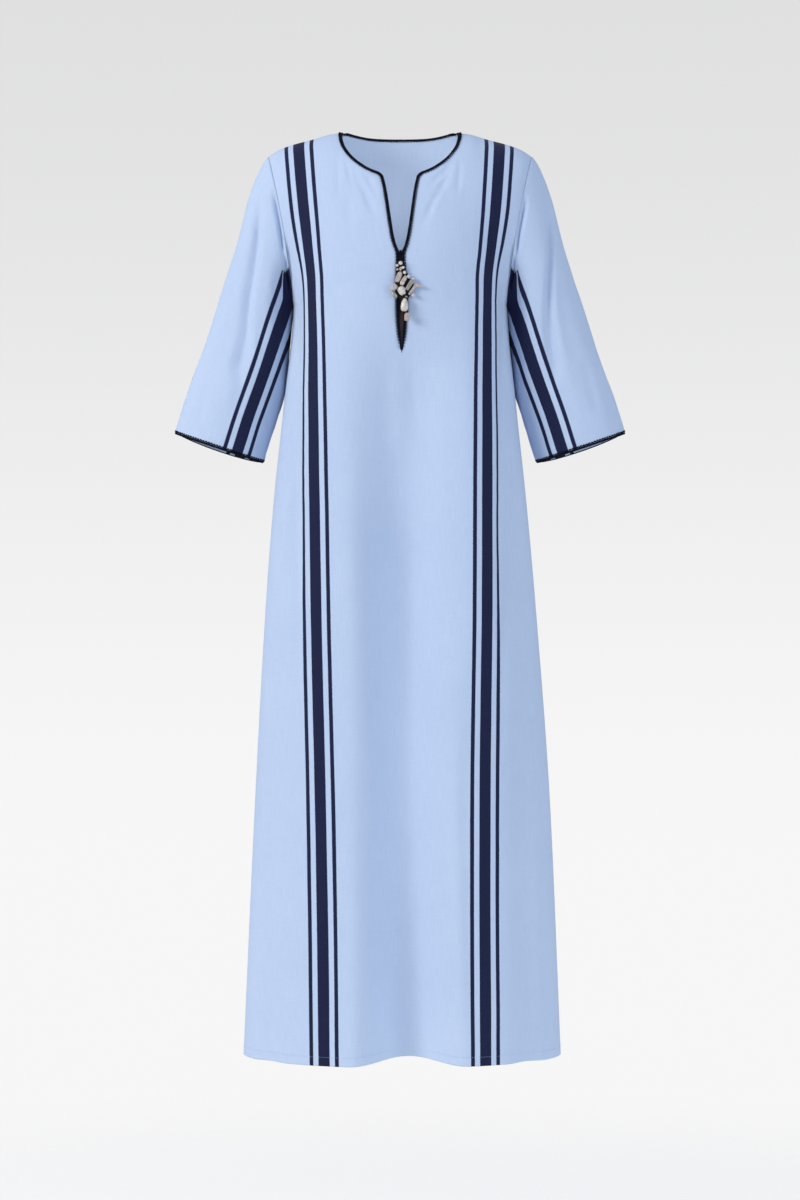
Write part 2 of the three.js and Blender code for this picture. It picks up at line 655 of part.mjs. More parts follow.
function beadMesh(row) {
  const deep = row.across * BEAD_DEPTH.share + BEAD_DEPTH.more;
  const geometry = new THREE.SphereGeometry(1, BEAD_MESH.around, BEAD_MESH.along);
  geometry.scale(row.along, deep, row.across);
  const colour = row.name === "bead_gold" ? COLOURS.gold : COLOURS.bead;
  const mesh = meshOf(row.name, geometry, colour, ROUGHNESS.bead);
  mesh.rotation.y = -THREE.MathUtils.degToRad(row.tilt);
  mesh.position.set(row.x, beadPlaneY - BACKING.thick - BEAD_SEAT - deep, row.z);
  return mesh;
}

// The underlay: a strip behind the slit that follows the inside of the front.
function underlay() {
  const cloth = new Cloth();
  const rows = [];
  for (let i = 0; i <= UNDERLAY.rows; i += 1) {
    const z = mix(UNDERLAY.topZ, UNDERLAY.bottomZ, i / UNDERLAY.rows);
    const middle = slitMiddle(z);
    const y = depthAt(middle, z, false) + WALL + BRAID.halfThick + UNDERLAY.gap;
    rows.push([-1, 0, 1].map((s) => cloth.point(new THREE.Vector3(middle + s * UNDERLAY.halfWidth, y, z))));
  }
  cloth.grid(rows, false);
  return cloth.solid(UNDERLAY.thick);
}

function tack() {
  const height = TACK.topZ - TACK.bottomZ;
  const z = (TACK.topZ + TACK.bottomZ) / 2;
  const geometry = new THREE.BoxGeometry(TACK.halfWidth * 2, TACK.thick, height);
  geometry.translate(slitMiddle(z), depthAt(slitMiddle(z), z, false), z);
  return geometry;
}

// ---------------------------------------------------------------- the dress
function meshOf(name, geometry, colour, roughness = ROUGHNESS.cloth) {
  const material = new THREE.MeshStandardMaterial({ color: colour, roughness, metalness: 0 });
  const mesh = new THREE.Mesh(geometry, material);
  mesh.name = name;
  return mesh;
}

const dress = new THREE.Group();
dress.name = "kaftan_dress";
dress.add(meshOf("front_panel", panel(false), COLOURS.cloth));
dress.add(meshOf("back_panel", panel(true), COLOURS.cloth));
dress.add(meshOf("sleeve_left", sleeve(-1), COLOURS.cloth));
dress.add(meshOf("sleeve_right", sleeve(1), COLOURS.cloth));
dress.add(meshOf("neck_braid", loopBraid(neckPath()), COLOURS.braid));
dress.add(meshOf("cuff_braid_left", loopBraid(cuffPath(-1)), COLOURS.braid));
dress.add(meshOf("cuff_braid_right", loopBraid(cuffPath(1)), COLOURS.braid));
dress.add(meshOf("slit_tack", tack(), COLOURS.braid));
dress.add(meshOf("slit_underlay", underlay(), COLOURS.underlay));
const backing = extrudedOutline(BACKING.outline, BACKING.thick, beadPlaneY - BACKING.thick);
dress.add(meshOf("ornament_backing", backing, COLOURS.underlay));
for (const row of BEADS) dress.add(beadMesh(row));

export default dress;
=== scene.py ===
"""Looks of a long kaftan dress: fine cloth, woven stripes, braid, hem stitches and beads.

Sizes are in millimetres, as a cutter gives them, and meshes are written in metres. X runs across
the shoulders, the front faces -Y and +Z is up. The origin is the middle of the shoulder line.
"""

from __future__ import annotations

import logging
import math
from collections.abc import Sequence
from dataclasses import dataclass, field
from enum import Enum
from typing import Any

import bmesh
import bpy
import numpy as np
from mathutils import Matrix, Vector, noise

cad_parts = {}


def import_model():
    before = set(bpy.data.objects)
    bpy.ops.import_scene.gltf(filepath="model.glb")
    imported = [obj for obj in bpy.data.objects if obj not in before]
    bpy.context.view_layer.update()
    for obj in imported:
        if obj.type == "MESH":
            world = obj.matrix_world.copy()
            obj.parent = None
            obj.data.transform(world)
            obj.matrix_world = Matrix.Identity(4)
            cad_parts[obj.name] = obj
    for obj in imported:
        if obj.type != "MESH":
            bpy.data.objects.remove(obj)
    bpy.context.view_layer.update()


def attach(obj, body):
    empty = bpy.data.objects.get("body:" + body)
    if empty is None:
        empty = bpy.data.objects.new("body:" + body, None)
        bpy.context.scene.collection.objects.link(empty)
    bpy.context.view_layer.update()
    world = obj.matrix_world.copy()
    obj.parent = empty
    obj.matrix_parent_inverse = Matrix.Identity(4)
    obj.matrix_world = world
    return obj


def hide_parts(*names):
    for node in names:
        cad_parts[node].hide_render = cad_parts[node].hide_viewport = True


Array = np.ndarray
Rows = tuple[tuple[float, ...], ...]
Colour = tuple[float, float, float]
Piece = bpy.types.Object
Material = bpy.types.Material
Socket = bpy.types.NodeSocket
Settings = dict[str, Any] | None
Values = dict[Any, Any] | None

MM = 0.001
ROOT = "root"
log = logging.getLogger("kaftan")


# ---------------------------------------------------------------- numbers and curves
def clamp01(value: Array) -> Array:
    """The value, held from 0 to 1."""
    return np.clip(value, 0.0, 1.0)


def mix(a: Array, b: Array, share: Array) -> Array:
    """The value a share of the way from a to b."""
    return a + (b - a) * share


def smooth(share: Array) -> Array:
    """A share from 0 to 1 that leaves and arrives level."""
    t = clamp01(share)
    return t * t * (3 - 2 * t)


def hump(s: Array) -> Array:
    """A soft hill, 1 at 0 and level at 0 by the time s is 1 or -1."""
    return np.cos(np.clip(s, -1.0, 1.0) * np.pi / 2) ** 2


def unit(vectors: Array) -> Array:
    """Vectors along the last axis, each one long."""
    return vectors / np.maximum(np.linalg.norm(vectors, axis=-1, keepdims=True), 1e-12)


def stack(x: Array, y: Array, z: Array) -> Array:
    """Points from their three coordinates."""
    return np.stack(np.broadcast_arrays(x, y, z), axis=-1).astype(float)


def side_of(x: Array) -> Array:
    """The side of the middle line that each x is on, -1 or 1."""
    return np.where(x < 0, -1, 1)


def nearest_on(line: Array, u: Array, v: Array) -> tuple[Array, Array]:
    """How near a line of straight runs passes to each place.

    Args:
        line: Rows of the line's own u and v.
        u: Each place across the cloth.
        v: Each place along the cloth.

    Returns:
        The distance to the line, and the share of the line's rows at which it is nearest.
    """
    nearest, along = np.full(np.shape(u), np.inf), np.zeros(np.shape(u))
    for i, (a, b) in enumerate(zip(line, line[1:])):
        run = b - a
        t = clamp01(((u - a[0]) * run[0] + (v - a[1]) * run[1]) / (run @ run))
        gap = np.hypot(u - a[0] - t * run[0], v - a[1] - t * run[1])
        along = np.where(gap < nearest, (i + t) / (len(line) - 1), along)
        nearest = np.minimum(nearest, gap)
    return nearest, along


def mottle(u: Array, v: Array, reach_u: float, reach_v: float, seed: float) -> Array:
    """Soft random unevenness over a cloth, from about -1 to 1.

    Args:
        u: Places across the cloth.
        v: Places along the cloth.
        reach_u: Size of one unevenness across the cloth.
        reach_v: Its size along the cloth.
        seed: Sets this unevenness apart from others.

    Returns:
        The unevenness at each place.
    """
    flat = zip(np.ravel(u / reach_u), np.ravel(v / reach_v))
    values = [noise.noise(Vector((a, b, seed))) for a, b in flat]
    return np.array(values).reshape(np.shape(u)) * 1.6


class Table:
    """A smooth curve through rows of numbers, which doesn't overshoot between them."""

    def __init__(self, keys: Sequence[float], values: Sequence[float]) -> None:
        """Keeps the rows in rising order, with the curve's slope at each."""
        order = np.argsort(keys)
        self.keys = np.array(keys, float)[order]
        self.values = np.array(values, float)[order]
        steps = np.diff(self.values) / np.diff(self.keys)
        before, after = steps[:-1], steps[1:]
        total = np.where(before + after == 0, 1, before + after)
        inner = np.where(before * after > 0, 2 * before * after / total, 0)
        self.slopes = np.concatenate([steps[:1], inner, steps[-1:]])

    def at(self, key: Array) -> Array:
        """Reads the curve.

        Args:
            key: Where to read it; past the rows' ends, the end row counts.

        Returns:
            The curve's value at each key.
        """
        x = np.clip(key, self.keys[0], self.keys[-1])
        i = np.clip(np.searchsorted(self.keys, x) - 1, 0, len(self.keys) - 2)
        h = self.keys[i + 1] - self.keys[i]
        t = (x - self.keys[i]) / h
        a = 2 * t**3 - 3 * t**2 + 1
        start = a * self.values[i] + (t**3 - 2 * t**2 + t) * h * self.slopes[i]
        return start + (1 - a) * self.values[i + 1] + (t**3 - t**2) * h * self.slopes[i + 1]


class Route:
    """A smooth line through (x, z) rows, walked evenly by length."""

    SAMPLES = 120

    def __init__(self, rows: Sequence[Sequence[float]]) -> None:
        """Samples a centripetal Catmull-Rom curve through the rows."""
        p = np.array(rows, float)
        p = np.vstack([2 * p[0] - p[1], p, 2 * p[-1] - p[-2]])
        found = []
        t = np.arange(self.SAMPLES)[:, None] / self.SAMPLES
        for p0, p1, p2, p3 in zip(p, p[1:], p[2:], p[3:]):
            d0, d1, d2 = (np.linalg.norm(b - a) ** 0.5 for a, b in ((p0, p1), (p1, p2), (p2, p3)))
            m1 = ((p1 - p0) / d0 - (p2 - p0) / (d0 + d1) + (p2 - p1) / d1) * d1
            m2 = ((p2 - p1) / d1 - (p3 - p1) / (d1 + d2) + (p3 - p2) / d2) * d1
            c2, c3 = -3 * p1 + 3 * p2 - 2 * m1 - m2, 2 * p1 - 2 * p2 + m1 + m2
            found.append(p1 + m1 * t + c2 * t**2 + c3 * t**3)
        self.points = np.vstack([*found, p[-2:-1]])
        steps = np.linalg.norm(np.diff(self.points, axis=0), axis=1)
        self.lengths = np.concatenate([[0.0], np.cumsum(steps)])

    @property
    def length(self) -> float:
        """The line's whole length."""
        return float(self.lengths[-1])

    def at(self, share: Array) -> tuple[Array, Array]:
        """The x and z a share of the way along the line."""
        walked = clamp01(np.asarray(share, float)) * self.lengths[-1]
        return tuple(np.interp(walked, self.lengths, self.points[:, k]) for k in (0, 1))


# ---------------------------------------------------------------- the form that the dress hangs in
class Face(Enum):
    """The dress's two faces; the value is the way that each looks along Y."""

    FRONT = -1
    BACK = 1


@dataclass(frozen=True)
class Armhole:
    """The armhole, a slanted loop whose angle runs from the shoulder over the front."""

    top_x: float = 197.0
    top_z: float = -30.0
    bottom_x: float = 159.8
    bottom_z: float = -255.0
    front: float = 62.0
    back: float = 66.0
    sweep: float = 1.5
    lean: float = 0.25

    def share(self, z: Array) -> Array:
        """How far up the armhole a height is, from 0 to 1."""
        return clamp01((z - self.bottom_z) / (self.top_z - self.bottom_z))

    def ring(self, angle: Array, side: int) -> Array:
        """Points of the loop, at angles from the shoulder over the front."""
        share = (1 + np.cos(angle)) / 2
        depth = np.where(np.sin(angle) > 0, self.front, self.back)
        x = side * mix(self.bottom_x, self.top_x, share**self.sweep)
        return stack(x, -depth * np.sin(angle), mix(self.bottom_z, self.top_z, share))

    def normal(self, angle: Array, side: int) -> Array:
        """The way that the seam faces at each point of the loop."""
        out = side * self.lean * (1 + np.cos(angle))
        return unit(stack(out, -np.sin(angle), np.cos(angle)))


@dataclass(frozen=True)
class Fold:
    """A soft vertical fold that widens and deepens towards the hem.

    The x of its middle, its half width and its depth are given at its top and at the hem.
    """

    top_z: float
    x: tuple[float, float]
    half: tuple[float, float]
    depth: tuple[float, float]
    grow: float

    def sink(self, x: Array, z: Array, hem_z: float) -> Array:
        """How far the fold draws the cloth in at each place."""
        t = clamp01((self.top_z - z) / (self.top_z - hem_z))
        grown = mix(*self.depth, smooth(t * 3) * t**self.grow)
        return grown * hump((x - mix(*self.x, t)) / mix(*self.half, t))


@dataclass(frozen=True)
class BroadFold:
    """The wide shallow hollow that runs down the middle of a face and dies out low down."""

    x: tuple[float, float]
    half: float
    depth: float
    top_z: float
    full_z: float
    fade_z: float
    end_z: float

    def sink(self, x: Array, z: Array, hem_z: float) -> Array:
        """How far the hollow draws the cloth in. Its middle has reached the second x at the hem."""
        t = clamp01((self.top_z - z) / (self.top_z - hem_z))
        on = smooth((self.top_z - z) / (self.top_z - self.full_z))
        on = on * (1 - smooth((self.fade_z - z) / (self.fade_z - self.end_z)))
        return self.depth * on * hump((x - mix(*self.x, t)) / self.half)


@dataclass(frozen=True)
class SideCrease:
    """The crease beside each stripe, where the front turns to the side."""

    x: float = 139.0
    rise: float = 12.0
    depth: float = 11.0
    top_z: float = -150.0
    full_z: float = -300.0
    fade_z: float = -560.0
    end_z: float = -860.0

    def sink(self, x: Array, z: Array, edge: Array) -> Array:
        """How far the crease draws the cloth in. The panel ends at the x called edge."""
        above = smooth((self.top_z - z) / (self.top_z - self.full_z))
        on = above * (1 - smooth((self.fade_z - z) / (self.fade_z - self.end_z)))
        out = np.abs(x) - self.x
        fall = 1 - smooth((out - self.rise) / (edge - self.x - self.rise))
        return self.depth * on * smooth(out / self.rise) * fall


@dataclass
class DressForm:
    """The hollow form that the worn dress hangs in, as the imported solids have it.

    Only the broad hollows, the small creases and the slit's lower end go further than theirs.
    """

    hem_z: float = -1373.5
    shoulder_round: float = 190.0
    seam_gap: float = 0.3
    edge_reach: float = 5.0  # how fast the armhole's depth dies away into the panel
    shoulder_power: float = 1.25  # roundness of the cross-section at the shoulder line
    top_share: float = 0.9995  # just under the armhole's top, where its depth is still defined
    nape: tuple[float, float, float] = (27.0, 92.0, 1.3)  # rise, half width, power
    hem_lift: float = 7.0  # the hem rises where the front fold draws it in
    hem_lift_power: float = 6.0  # how near the hem that starts
    armhole: Armhole = Armhole()
    crest_rows: Rows = (
        (0, 7), (60, 7), (88, 5), (104, 3), (130, -4.5), (159, -12), (180, -19.5), (197, -30),
    )
    # height; reach to the left, the right, the front and the back; roundness
    body_rows: Rows = (
        (10, 160, 160, 104, 104, 2.3),
        (-90, 160, 160, 110, 106, 2.4),
        (-255, 159.8, 160.8, 117, 108, 2.6),
        (-390, 172.5, 172.5, 118, 107, 2.55),
        (-545, 189, 189, 118, 109, 2.45),
        (-700, 201, 203, 120, 114, 2.3),
        (-1000, 217.5, 225, 126, 122, 2.15),
        (-1373.5, 234.5, 241, 132, 132, 2.05),
    )
    folds: dict[Face, tuple[Fold | BroadFold, ...]] = field(
        default_factory=lambda: {
            Face.FRONT: (
                Fold(-300, (-2, 13), (72, 88), (0, 62), 0.9),
                Fold(-420, (176, 186), (20, 30), (0, 7), 1),
                Fold(-520, (-182, -190), (20, 28), (0, 6), 1),
                BroadFold((12, 16), 103, 28, -230, -430, -600, -1040),
            ),
            Face.BACK: (
                Fold(-240, (-70, -88), (46, 58), (0, 34), 0.9),
                Fold(-330, (62, 74), (44, 62), (0, 40), 0.9),
                Fold(-520, (-182, -188), (22, 30), (0, 8), 1),
                BroadFold((-64, -70), 62, 6, -150, -380, -480, -800),
            ),
        }
    )
    side_crease: SideCrease = SideCrease()
    # height; half the distance between the braids' centre lines; the slit's middle
    slit_rows: Rows = (
        (-72, 26.6, 0), (-88, 22.8, 0.2), (-112, 19, 0.4), (-136.5, 15.6, 0.5),
        (-163.5, 11.3, 0.6), (-181, 6.5, 0.7), (-187, 3.6, 0.8), (-203, 3.6, 1),
        (-232, 4.8, 1.5), (-270, 5, 2), (-290, 4.5, 2.2), (-306, 3.3, 2.4), (-318, 2.2, 2.5),
    )
    slit_end_z: float = -323.0
    slit_cloth_z: float = -329.0  # where the cloth's two edges meet
    slit_tip: Rows = ((-322, 1.7), (-326, 1.1), (-331.5, 0.0))  # height; half distance
    tip_taper: tuple[float, float, float] = (-333.0, -302.0, 0.36)  # heights; the braid's least size
    neck_front_rows: Rows = (
        (26.6, -72), (31.5, -67.5), (41.2, -63.4), (54.5, -55.7), (69, -43.8),
        (78, -32.6), (83.8, -22.2), (87.4, -9), (88.2, 0.5),
    )
    neck_side: tuple[float, float] = (87.0, 5.1)
    neck_back_rows: Rows = ((0, 4.1), (19, 4.1), (38, 4.2), (52, 4.8), (68, 6.4), (80.5, 7.2))
    corner_drop: float = 4.0  # how far below the neck's corner the cloth's own corner is

    def __post_init__(self) -> None:
        """Makes the smooth curves through the rows."""
        self.crest_table = Table(*zip(*self.crest_rows))
        z, left, right, front, back, power = zip(*self.body_rows)
        self.reach = {-1: Table(z, left), 1: Table(z, right)}
        self.centre = {Face.FRONT: Table(z, front), Face.BACK: Table(z, back)}
        self.power = Table(z, power)
        z, half, middle = zip(*self.slit_rows)
        self.slit_half = Table(z, half)
        self.slit_middle = Table(z, middle)
        self.neck = {
            Face.FRONT: Route([*self.neck_front_rows, self.neck_side]),
            Face.BACK: Route([*self.neck_back_rows, self.neck_side]),
        }

    def crest(self, x: Array) -> Array:
        """Height of the shoulder line."""
        return self.crest_table.at(np.abs(x))

    def nape_crest(self, x: Array) -> Array:
        """Height of the line that the back neck stands up to."""
        rise, half, power = self.nape
        return self.crest(x) + rise * clamp01(1 - (x / half) ** 2) ** power

    def edge_x(self, z: Array, side: Array) -> Array:
        """The x, without a sign, where a panel ends at the armhole or side seam."""
        hole = self.armhole
        below = np.where(side < 0, self.reach[-1].at(z), self.reach[1].at(z))
        above = mix(hole.bottom_x, hole.top_x, hole.share(z) ** hole.sweep)
        return np.where(z < hole.bottom_z, below, above)

    def rounding(self, drop: Array) -> Array:
        """How much of its depth the form has at a drop below the shoulder line."""
        q = clamp01(drop / self.shoulder_round)
        return np.sqrt(1 - (1 - q) ** 2)

    def edge_depth(self, z: Array, face: Face) -> Array:
        """Depth of the form's fullness at a panel's edge.

        Args:
            z: Heights.
            face: The face.

        Returns:
            The depth at each height, 0 below the armhole.
        """
        hole = self.armhole
        share = np.minimum(hole.share(z), self.top_share)
        height = mix(hole.bottom_z, hole.top_z, share)
        drop = self.crest(self.edge_x(height, np.ones_like(height))) - height
        full = hole.front if face is Face.FRONT else hole.back
        deep = full * 2 * np.sqrt(share * (1 - share)) / self.rounding(drop)
        return np.where(z <= hole.bottom_z, 0.0, deep)

    def fold_sink(self, x: Array, z: Array, face: Face) -> Array:
        """How far the vertical folds draw a face in."""
        return sum(fold.sink(x, z, self.hem_z) for fold in self.folds[face])

    def hem_raised(self, x: Array) -> Array:
        """How far the front fold raises the hem."""
        deepest = self.folds[Face.FRONT][0].depth[1]
        return self.fold_sink(x, np.full_like(x, self.hem_z), Face.FRONT) / deepest * self.hem_lift

    def fullness(self, x: Array, z: Array, face: Face) -> Array:
        """Depth of a face before the shoulders round it off and the folds draw it in.

        Args:
            x: Each place across the dress.
            z: Its height.
            face: The face.

        Returns:
            The depth at each place.
        """
        hole = self.armhole
        edge = self.edge_x(z, side_of(x))
        t = np.minimum(np.abs(x) / edge, 1)
        power = self.power.at(z)
        below = smooth((hole.top_z - z) / (hole.top_z - hole.bottom_z))
        roundness = mix(self.shoulder_power, power, below)
        inward = (1 - t**power) ** (1 / roundness)
        crest = self.crest(np.zeros(1))[0]
        reach = mix(1, self.edge_reach, clamp01((crest - z) / (crest - hole.bottom_z)) ** 3)
        return self.centre[face].at(z) * inward + self.edge_depth(z, face) * (1 - inward) ** reach

    def drawn_in(self, x: Array, z: Array, face: Face) -> Array:
        """How far folds and, on the front only, side creases draw a face in."""
        sides = self.side_crease.sink(x, z, self.edge_x(z, side_of(x))) if face is Face.FRONT else 0
        return self.fold_sink(x, z, face) + sides

    def drop(self, x: Array, z: Array, face: Face) -> Array:
        """How far each place is below the line that a face hangs from."""
        return (self.nape_crest(x) if face is Face.BACK else self.crest(x)) - z

    def depth(self, x: Array, z: Array, face: Face) -> Array:
        """The Y of a face at each x and z. It is also defined inside the neck opening."""
        full = self.rounding(self.drop(x, z, face)) * self.fullness(x, z, face)
        return (full - self.drawn_in(x, z, face)) * face.value

    def on_face(self, x: Array, z: Array, face: Face) -> Array:
        """Points of a face."""
        return stack(x, self.depth(x, z, face), z)

    def normal(self, x: Array, z: Array, face: Face, probe: float = 1.5) -> Array:
        """The way that a face looks at each x and z, felt as far round it as the probe reaches."""
        across = self.on_face(x + probe, z, face) - self.on_face(x - probe, z, face)
        down = self.on_face(x, z - probe, face) - self.on_face(x, z + probe, face)
        return unit(np.cross(across, down) * face.value)

    def cloth_slit(self, z: Array, away: float) -> Array:
        """Half the slit between the cloth's edges, which lie away from the braid's centre line."""
        full = self.slit_half.at(z) + away
        closing = clamp01((z - self.slit_cloth_z) / (self.slit_end_z - self.slit_cloth_z + 1))
        return np.where(z <= self.slit_cloth_z, 0.0, full * np.sqrt(1 - (1 - closing) ** 2))

    def neck_edge(self, face: Face, share: Array, away: float) -> tuple[Array, Array]:
        """The x and z of shares of a face's neck line, moved away from the opening."""
        route, step = self.neck[face], 0.01
        (ax, az), (bx, bz), (px, pz) = (route.at(share + s) for s in (-step, step, 0.0))
        length = np.hypot(bx - ax, bz - az)
        return px + (bz - az) / length * away, pz - (bx - ax) / length * away


@dataclass(frozen=True)
class Crease:
    """A soft trough along a line on the cloth. A negative depth makes a ridge."""

    RUNS = 14  # straight runs that stand for its line

    line: Rows
    half: float
    depth: float
    ends: float = 0.4  # share of the line over which it fades at each end

    def sink(self, u: Array, v: Array) -> Array:
        """How far the crease draws the cloth in, at places across and along it."""
        line = np.stack(Route(self.line).at(np.linspace(0, 1, self.RUNS + 1)), -1)
        nearest, along = nearest_on(line, u, v)
        fade = smooth(np.minimum(along, 1 - along) / self.ends)
        return self.depth * hump(nearest / self.half) * fade


# ---------------------------------------------------------------- meshes
def new_object(name: str, data: bpy.types.ID) -> Piece:
    """A new object in the scene, at the origin, with its mesh, light or camera."""
    made = bpy.data.objects.new(name, data)
    bpy.context.scene.collection.objects.link(made)
    return made


def mesh_object(name: str, points: Array, faces: Sequence[Sequence[int]]) -> Piece:
    """A smooth object, its mesh in metres, from points in millimetres and their faces."""
    mesh = bpy.data.meshes.new(name)
    mesh.from_pydata((np.asarray(points) * MM).tolist(), [], [list(f) for f in faces])
    mesh.polygons.foreach_set("use_smooth", np.ones(len(mesh.polygons), bool))
    mesh.update()
    return new_object(name, mesh)


def ring_faces(rings: int, sides: int, closed: bool) -> list[tuple[int, ...]]:
    """The faces between rings of points.

    Args:
        rings: How many rings there are.
        sides: Points in each ring.
        closed: True joins the last ring to the first.

    Returns:
        The point numbers of each face.
    """
    faces = []
    for i in range(rings if closed else rings - 1):
        for s in range(sides):
            a, b, n = i * sides, (i + 1) % rings * sides, (s + 1) % sides
            faces.append((a + s, a + n, b + n, b + s))
    return faces


def point_outwards(made: Piece, *others: Piece, near: float = 1e-6) -> None:
    """Joins doubled points and turns the faces of closed, unwalled shapes outwards.

    Args:
        made: The piece.
        *others: Objects whose meshes it takes in; they are then removed.
        near: How near doubled points are, in metres.
    """
    work = bmesh.new()
    for shape in (made, *others):
        work.from_mesh(shape.data)
    bmesh.ops.remove_doubles(work, verts=work.verts, dist=near)
    bmesh.ops.recalc_face_normals(work, faces=work.faces)
    work.to_mesh(made.data)
    work.free()
    for shape in others:
        bpy.data.objects.remove(shape)


def settle(made: Piece, slot: str, *nodes: str) -> Piece:
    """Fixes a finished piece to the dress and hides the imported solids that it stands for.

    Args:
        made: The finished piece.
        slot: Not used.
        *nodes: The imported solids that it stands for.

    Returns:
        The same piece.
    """
    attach(made, ROOT)
    if nodes:
        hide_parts(*nodes)
    made.data.calc_loop_triangles()
    log.info("%s: %d triangles", made.name, len(made.data.loop_triangles))
    return made


class ClothMesh:
    """A cloth surface of quads, which then gets its thickness."""

    def __init__(self) -> None:
        """Starts an empty cloth."""
        self.points: list[Array] = []
        self.values: list[Array] = []
        self.seams: list[Array] = []
        self.walls: list[Array] = []
        self.faces: list[Array] = []
        self.count = 0

    def add_grid(
        self,
        points: Array,
        values: Array,
        walls: Array,
        seams: Array,
        flip: bool,
        same: Array | None = None,
    ) -> Array:
        """Adds rows of points.

        Args:
            points: Rows of columns of points.
            values: For each point, its place across and along the cloth, and from the stripe.
            walls: The cloth's thickness at each point.
            seams: The way that a seam faces at each point, or zeros away from seams.
            flip: True turns the faces over.
            same: The number of an earlier point to use instead, or -1, for each point.

        Returns:
            The number of each point.
        """
        shape = points.shape[:2]
        known = np.full(shape, -1) if same is None else same
        fresh = known < 0
        number = known.copy()
        number[fresh] = self.count + np.arange(fresh.sum())
        self.count += int(fresh.sum())
        for store, rows in ((self.points, points), (self.values, values), (self.seams, seams)):
            store.append(rows[fresh])
        self.walls.append(walls[fresh])
        quads = np.stack([number[:-1, :-1], number[:-1, 1:], number[1:, 1:], number[1:, :-1]], -1)
        quads = quads.reshape(-1, 4)
        self.faces.append(quads[:, ::-1] if flip else quads)
        return number

    def solid(self, name: str, material: Material) -> Piece:
        """The closed cloth: this surface outside, the same moved in, and rims between them.

        Args:
            name: The piece's name.
            material: Its material.

        Returns:
            The finished piece.
        """
        points, values = np.vstack(self.points), np.vstack(self.values)
        seams, walls = np.vstack(self.seams), np.concatenate(self.walls)
        faces = np.vstack(self.faces)
        a, b, c, d = (points[faces[:, k]] for k in range(4))
        facing = np.cross(c - a, d - b)
        sums = np.zeros_like(points)
        for k in range(4):
            np.add.at(sums, faces[:, k], facing)
        on_seam = np.linalg.norm(seams, axis=1) > 0
        inward = unit(np.where(on_seam[:, None], seams, sums))
        inner = points - inward * walls[:, None]
        edges = np.vstack([faces[:, [k, (k + 1) % 4]] for k in range(4)])
        keys = edges[:, 0] * len(points) + edges[:, 1]
        back = edges[:, 1] * len(points) + edges[:, 0]
        rim = edges[~np.isin(keys, back)]
        n = len(points)
        sides = np.stack([rim[:, 1], rim[:, 0], rim[:, 0] + n, rim[:, 1] + n], -1)
        every = np.vstack([faces, faces[:, ::-1] + n, sides])
        made = mesh_object(name, np.vstack([points, inner]), every)
        self._attach(made.data, np.vstack([values, values]))
        made.data.materials.append(material)
        return made

    @staticmethod
    def _attach(mesh: bpy.types.Mesh, values: Array) -> None:
        """Writes the cloth's own map and the distance from the stripe's middle, in metres.

        Args:
            mesh: The piece's mesh.
            values: Place across and along the cloth and from the stripe, in millimetres.
        """
        loops = np.empty(len(mesh.loops), np.int32)
        mesh.loops.foreach_get("vertex_index", loops)
        layer = mesh.uv_layers.new(name=ClothFinish.MAP)
        layer.uv.foreach_set("vector", (values[loops, :2] * MM).astype(np.float32).ravel())
        stripe = mesh.attributes.new(ClothFinish.STRIPE, "FLOAT", "POINT")
        stripe.data.foreach_set("value", (values[:, 2] * MM).astype(np.float32))


# ---------------------------------------------------------------- node trees and shader maths
class NodeTree:
    """A tree of nodes that is built up from nothing."""

    def __init__(self, tree: bpy.types.NodeTree) -> None:
        """Empties the tree."""
        tree.nodes.clear()
        self.tree = tree

    def make(self, kind: str, settings: Settings = None, values: Values = None) -> bpy.types.Node:
        """Makes a node.

        Args:
            kind: The node's type.
            settings: Its own settings, which are set first.
            values: For each input by name or number, a number, a colour, a socket or a wire.

        Returns:
            The node.
        """
        made = self.tree.nodes.new(kind)
        for key, value in (settings or {}).items():
            setattr(made, key, value)
        for key, value in (values or {}).items():
            source = value.socket if isinstance(value, Wire) else value
            if isinstance(source, bpy.types.NodeSocket):
                self.tree.links.new(source, made.inputs[key])
            else:
                made.inputs[key].default_value = source
        return made


class Wire:
    """A shader socket, or its result, that takes part in Python arithmetic."""

    def __init__(self, shader: Shader, socket: bpy.types.NodeSocket) -> None:
        """Wraps an output socket."""
        self.shader = shader
        self.socket = socket

    def maths(self, operation: str, *others: Any) -> Wire:
        """This value and others through one Math node."""
        values = dict(enumerate([self, *others]))
        return self.shader.node("ShaderNodeMath", {"operation": operation}, values)

    def __add__(self, other: Any) -> Wire:
        """Sum."""
        return self.maths("ADD", other)

    __radd__ = __add__

    def __mul__(self, other: Any) -> Wire:
        """Product."""
        return self.maths("MULTIPLY", other)

    __rmul__ = __mul__

    def __sub__(self, other: Any) -> Wire:
        """Difference."""
        return self.maths("SUBTRACT", other)

    def __rsub__(self, other: Any) -> Wire:
        """Difference from a number."""
        return self * -1.0 + other

    def __pow__(self, other: Any) -> Wire:
        """Power."""
        return self.maths("POWER", other)

    def __abs__(self) -> Wire:
        """Distance from 0."""
        return self.maths("ABSOLUTE")

    def sine(self) -> Wire:
        """Sine."""
        return self.maths("SINE")

    def step(self, low: float, high: float) -> Wire:
        """0 up to low, 1 from high, and smooth between them."""
        settings = {"interpolation_type": "SMOOTHSTEP"}
        values = {"Value": self, "From Min": low, "From Max": high}
        return self.shader.node("ShaderNodeMapRange", settings, values)


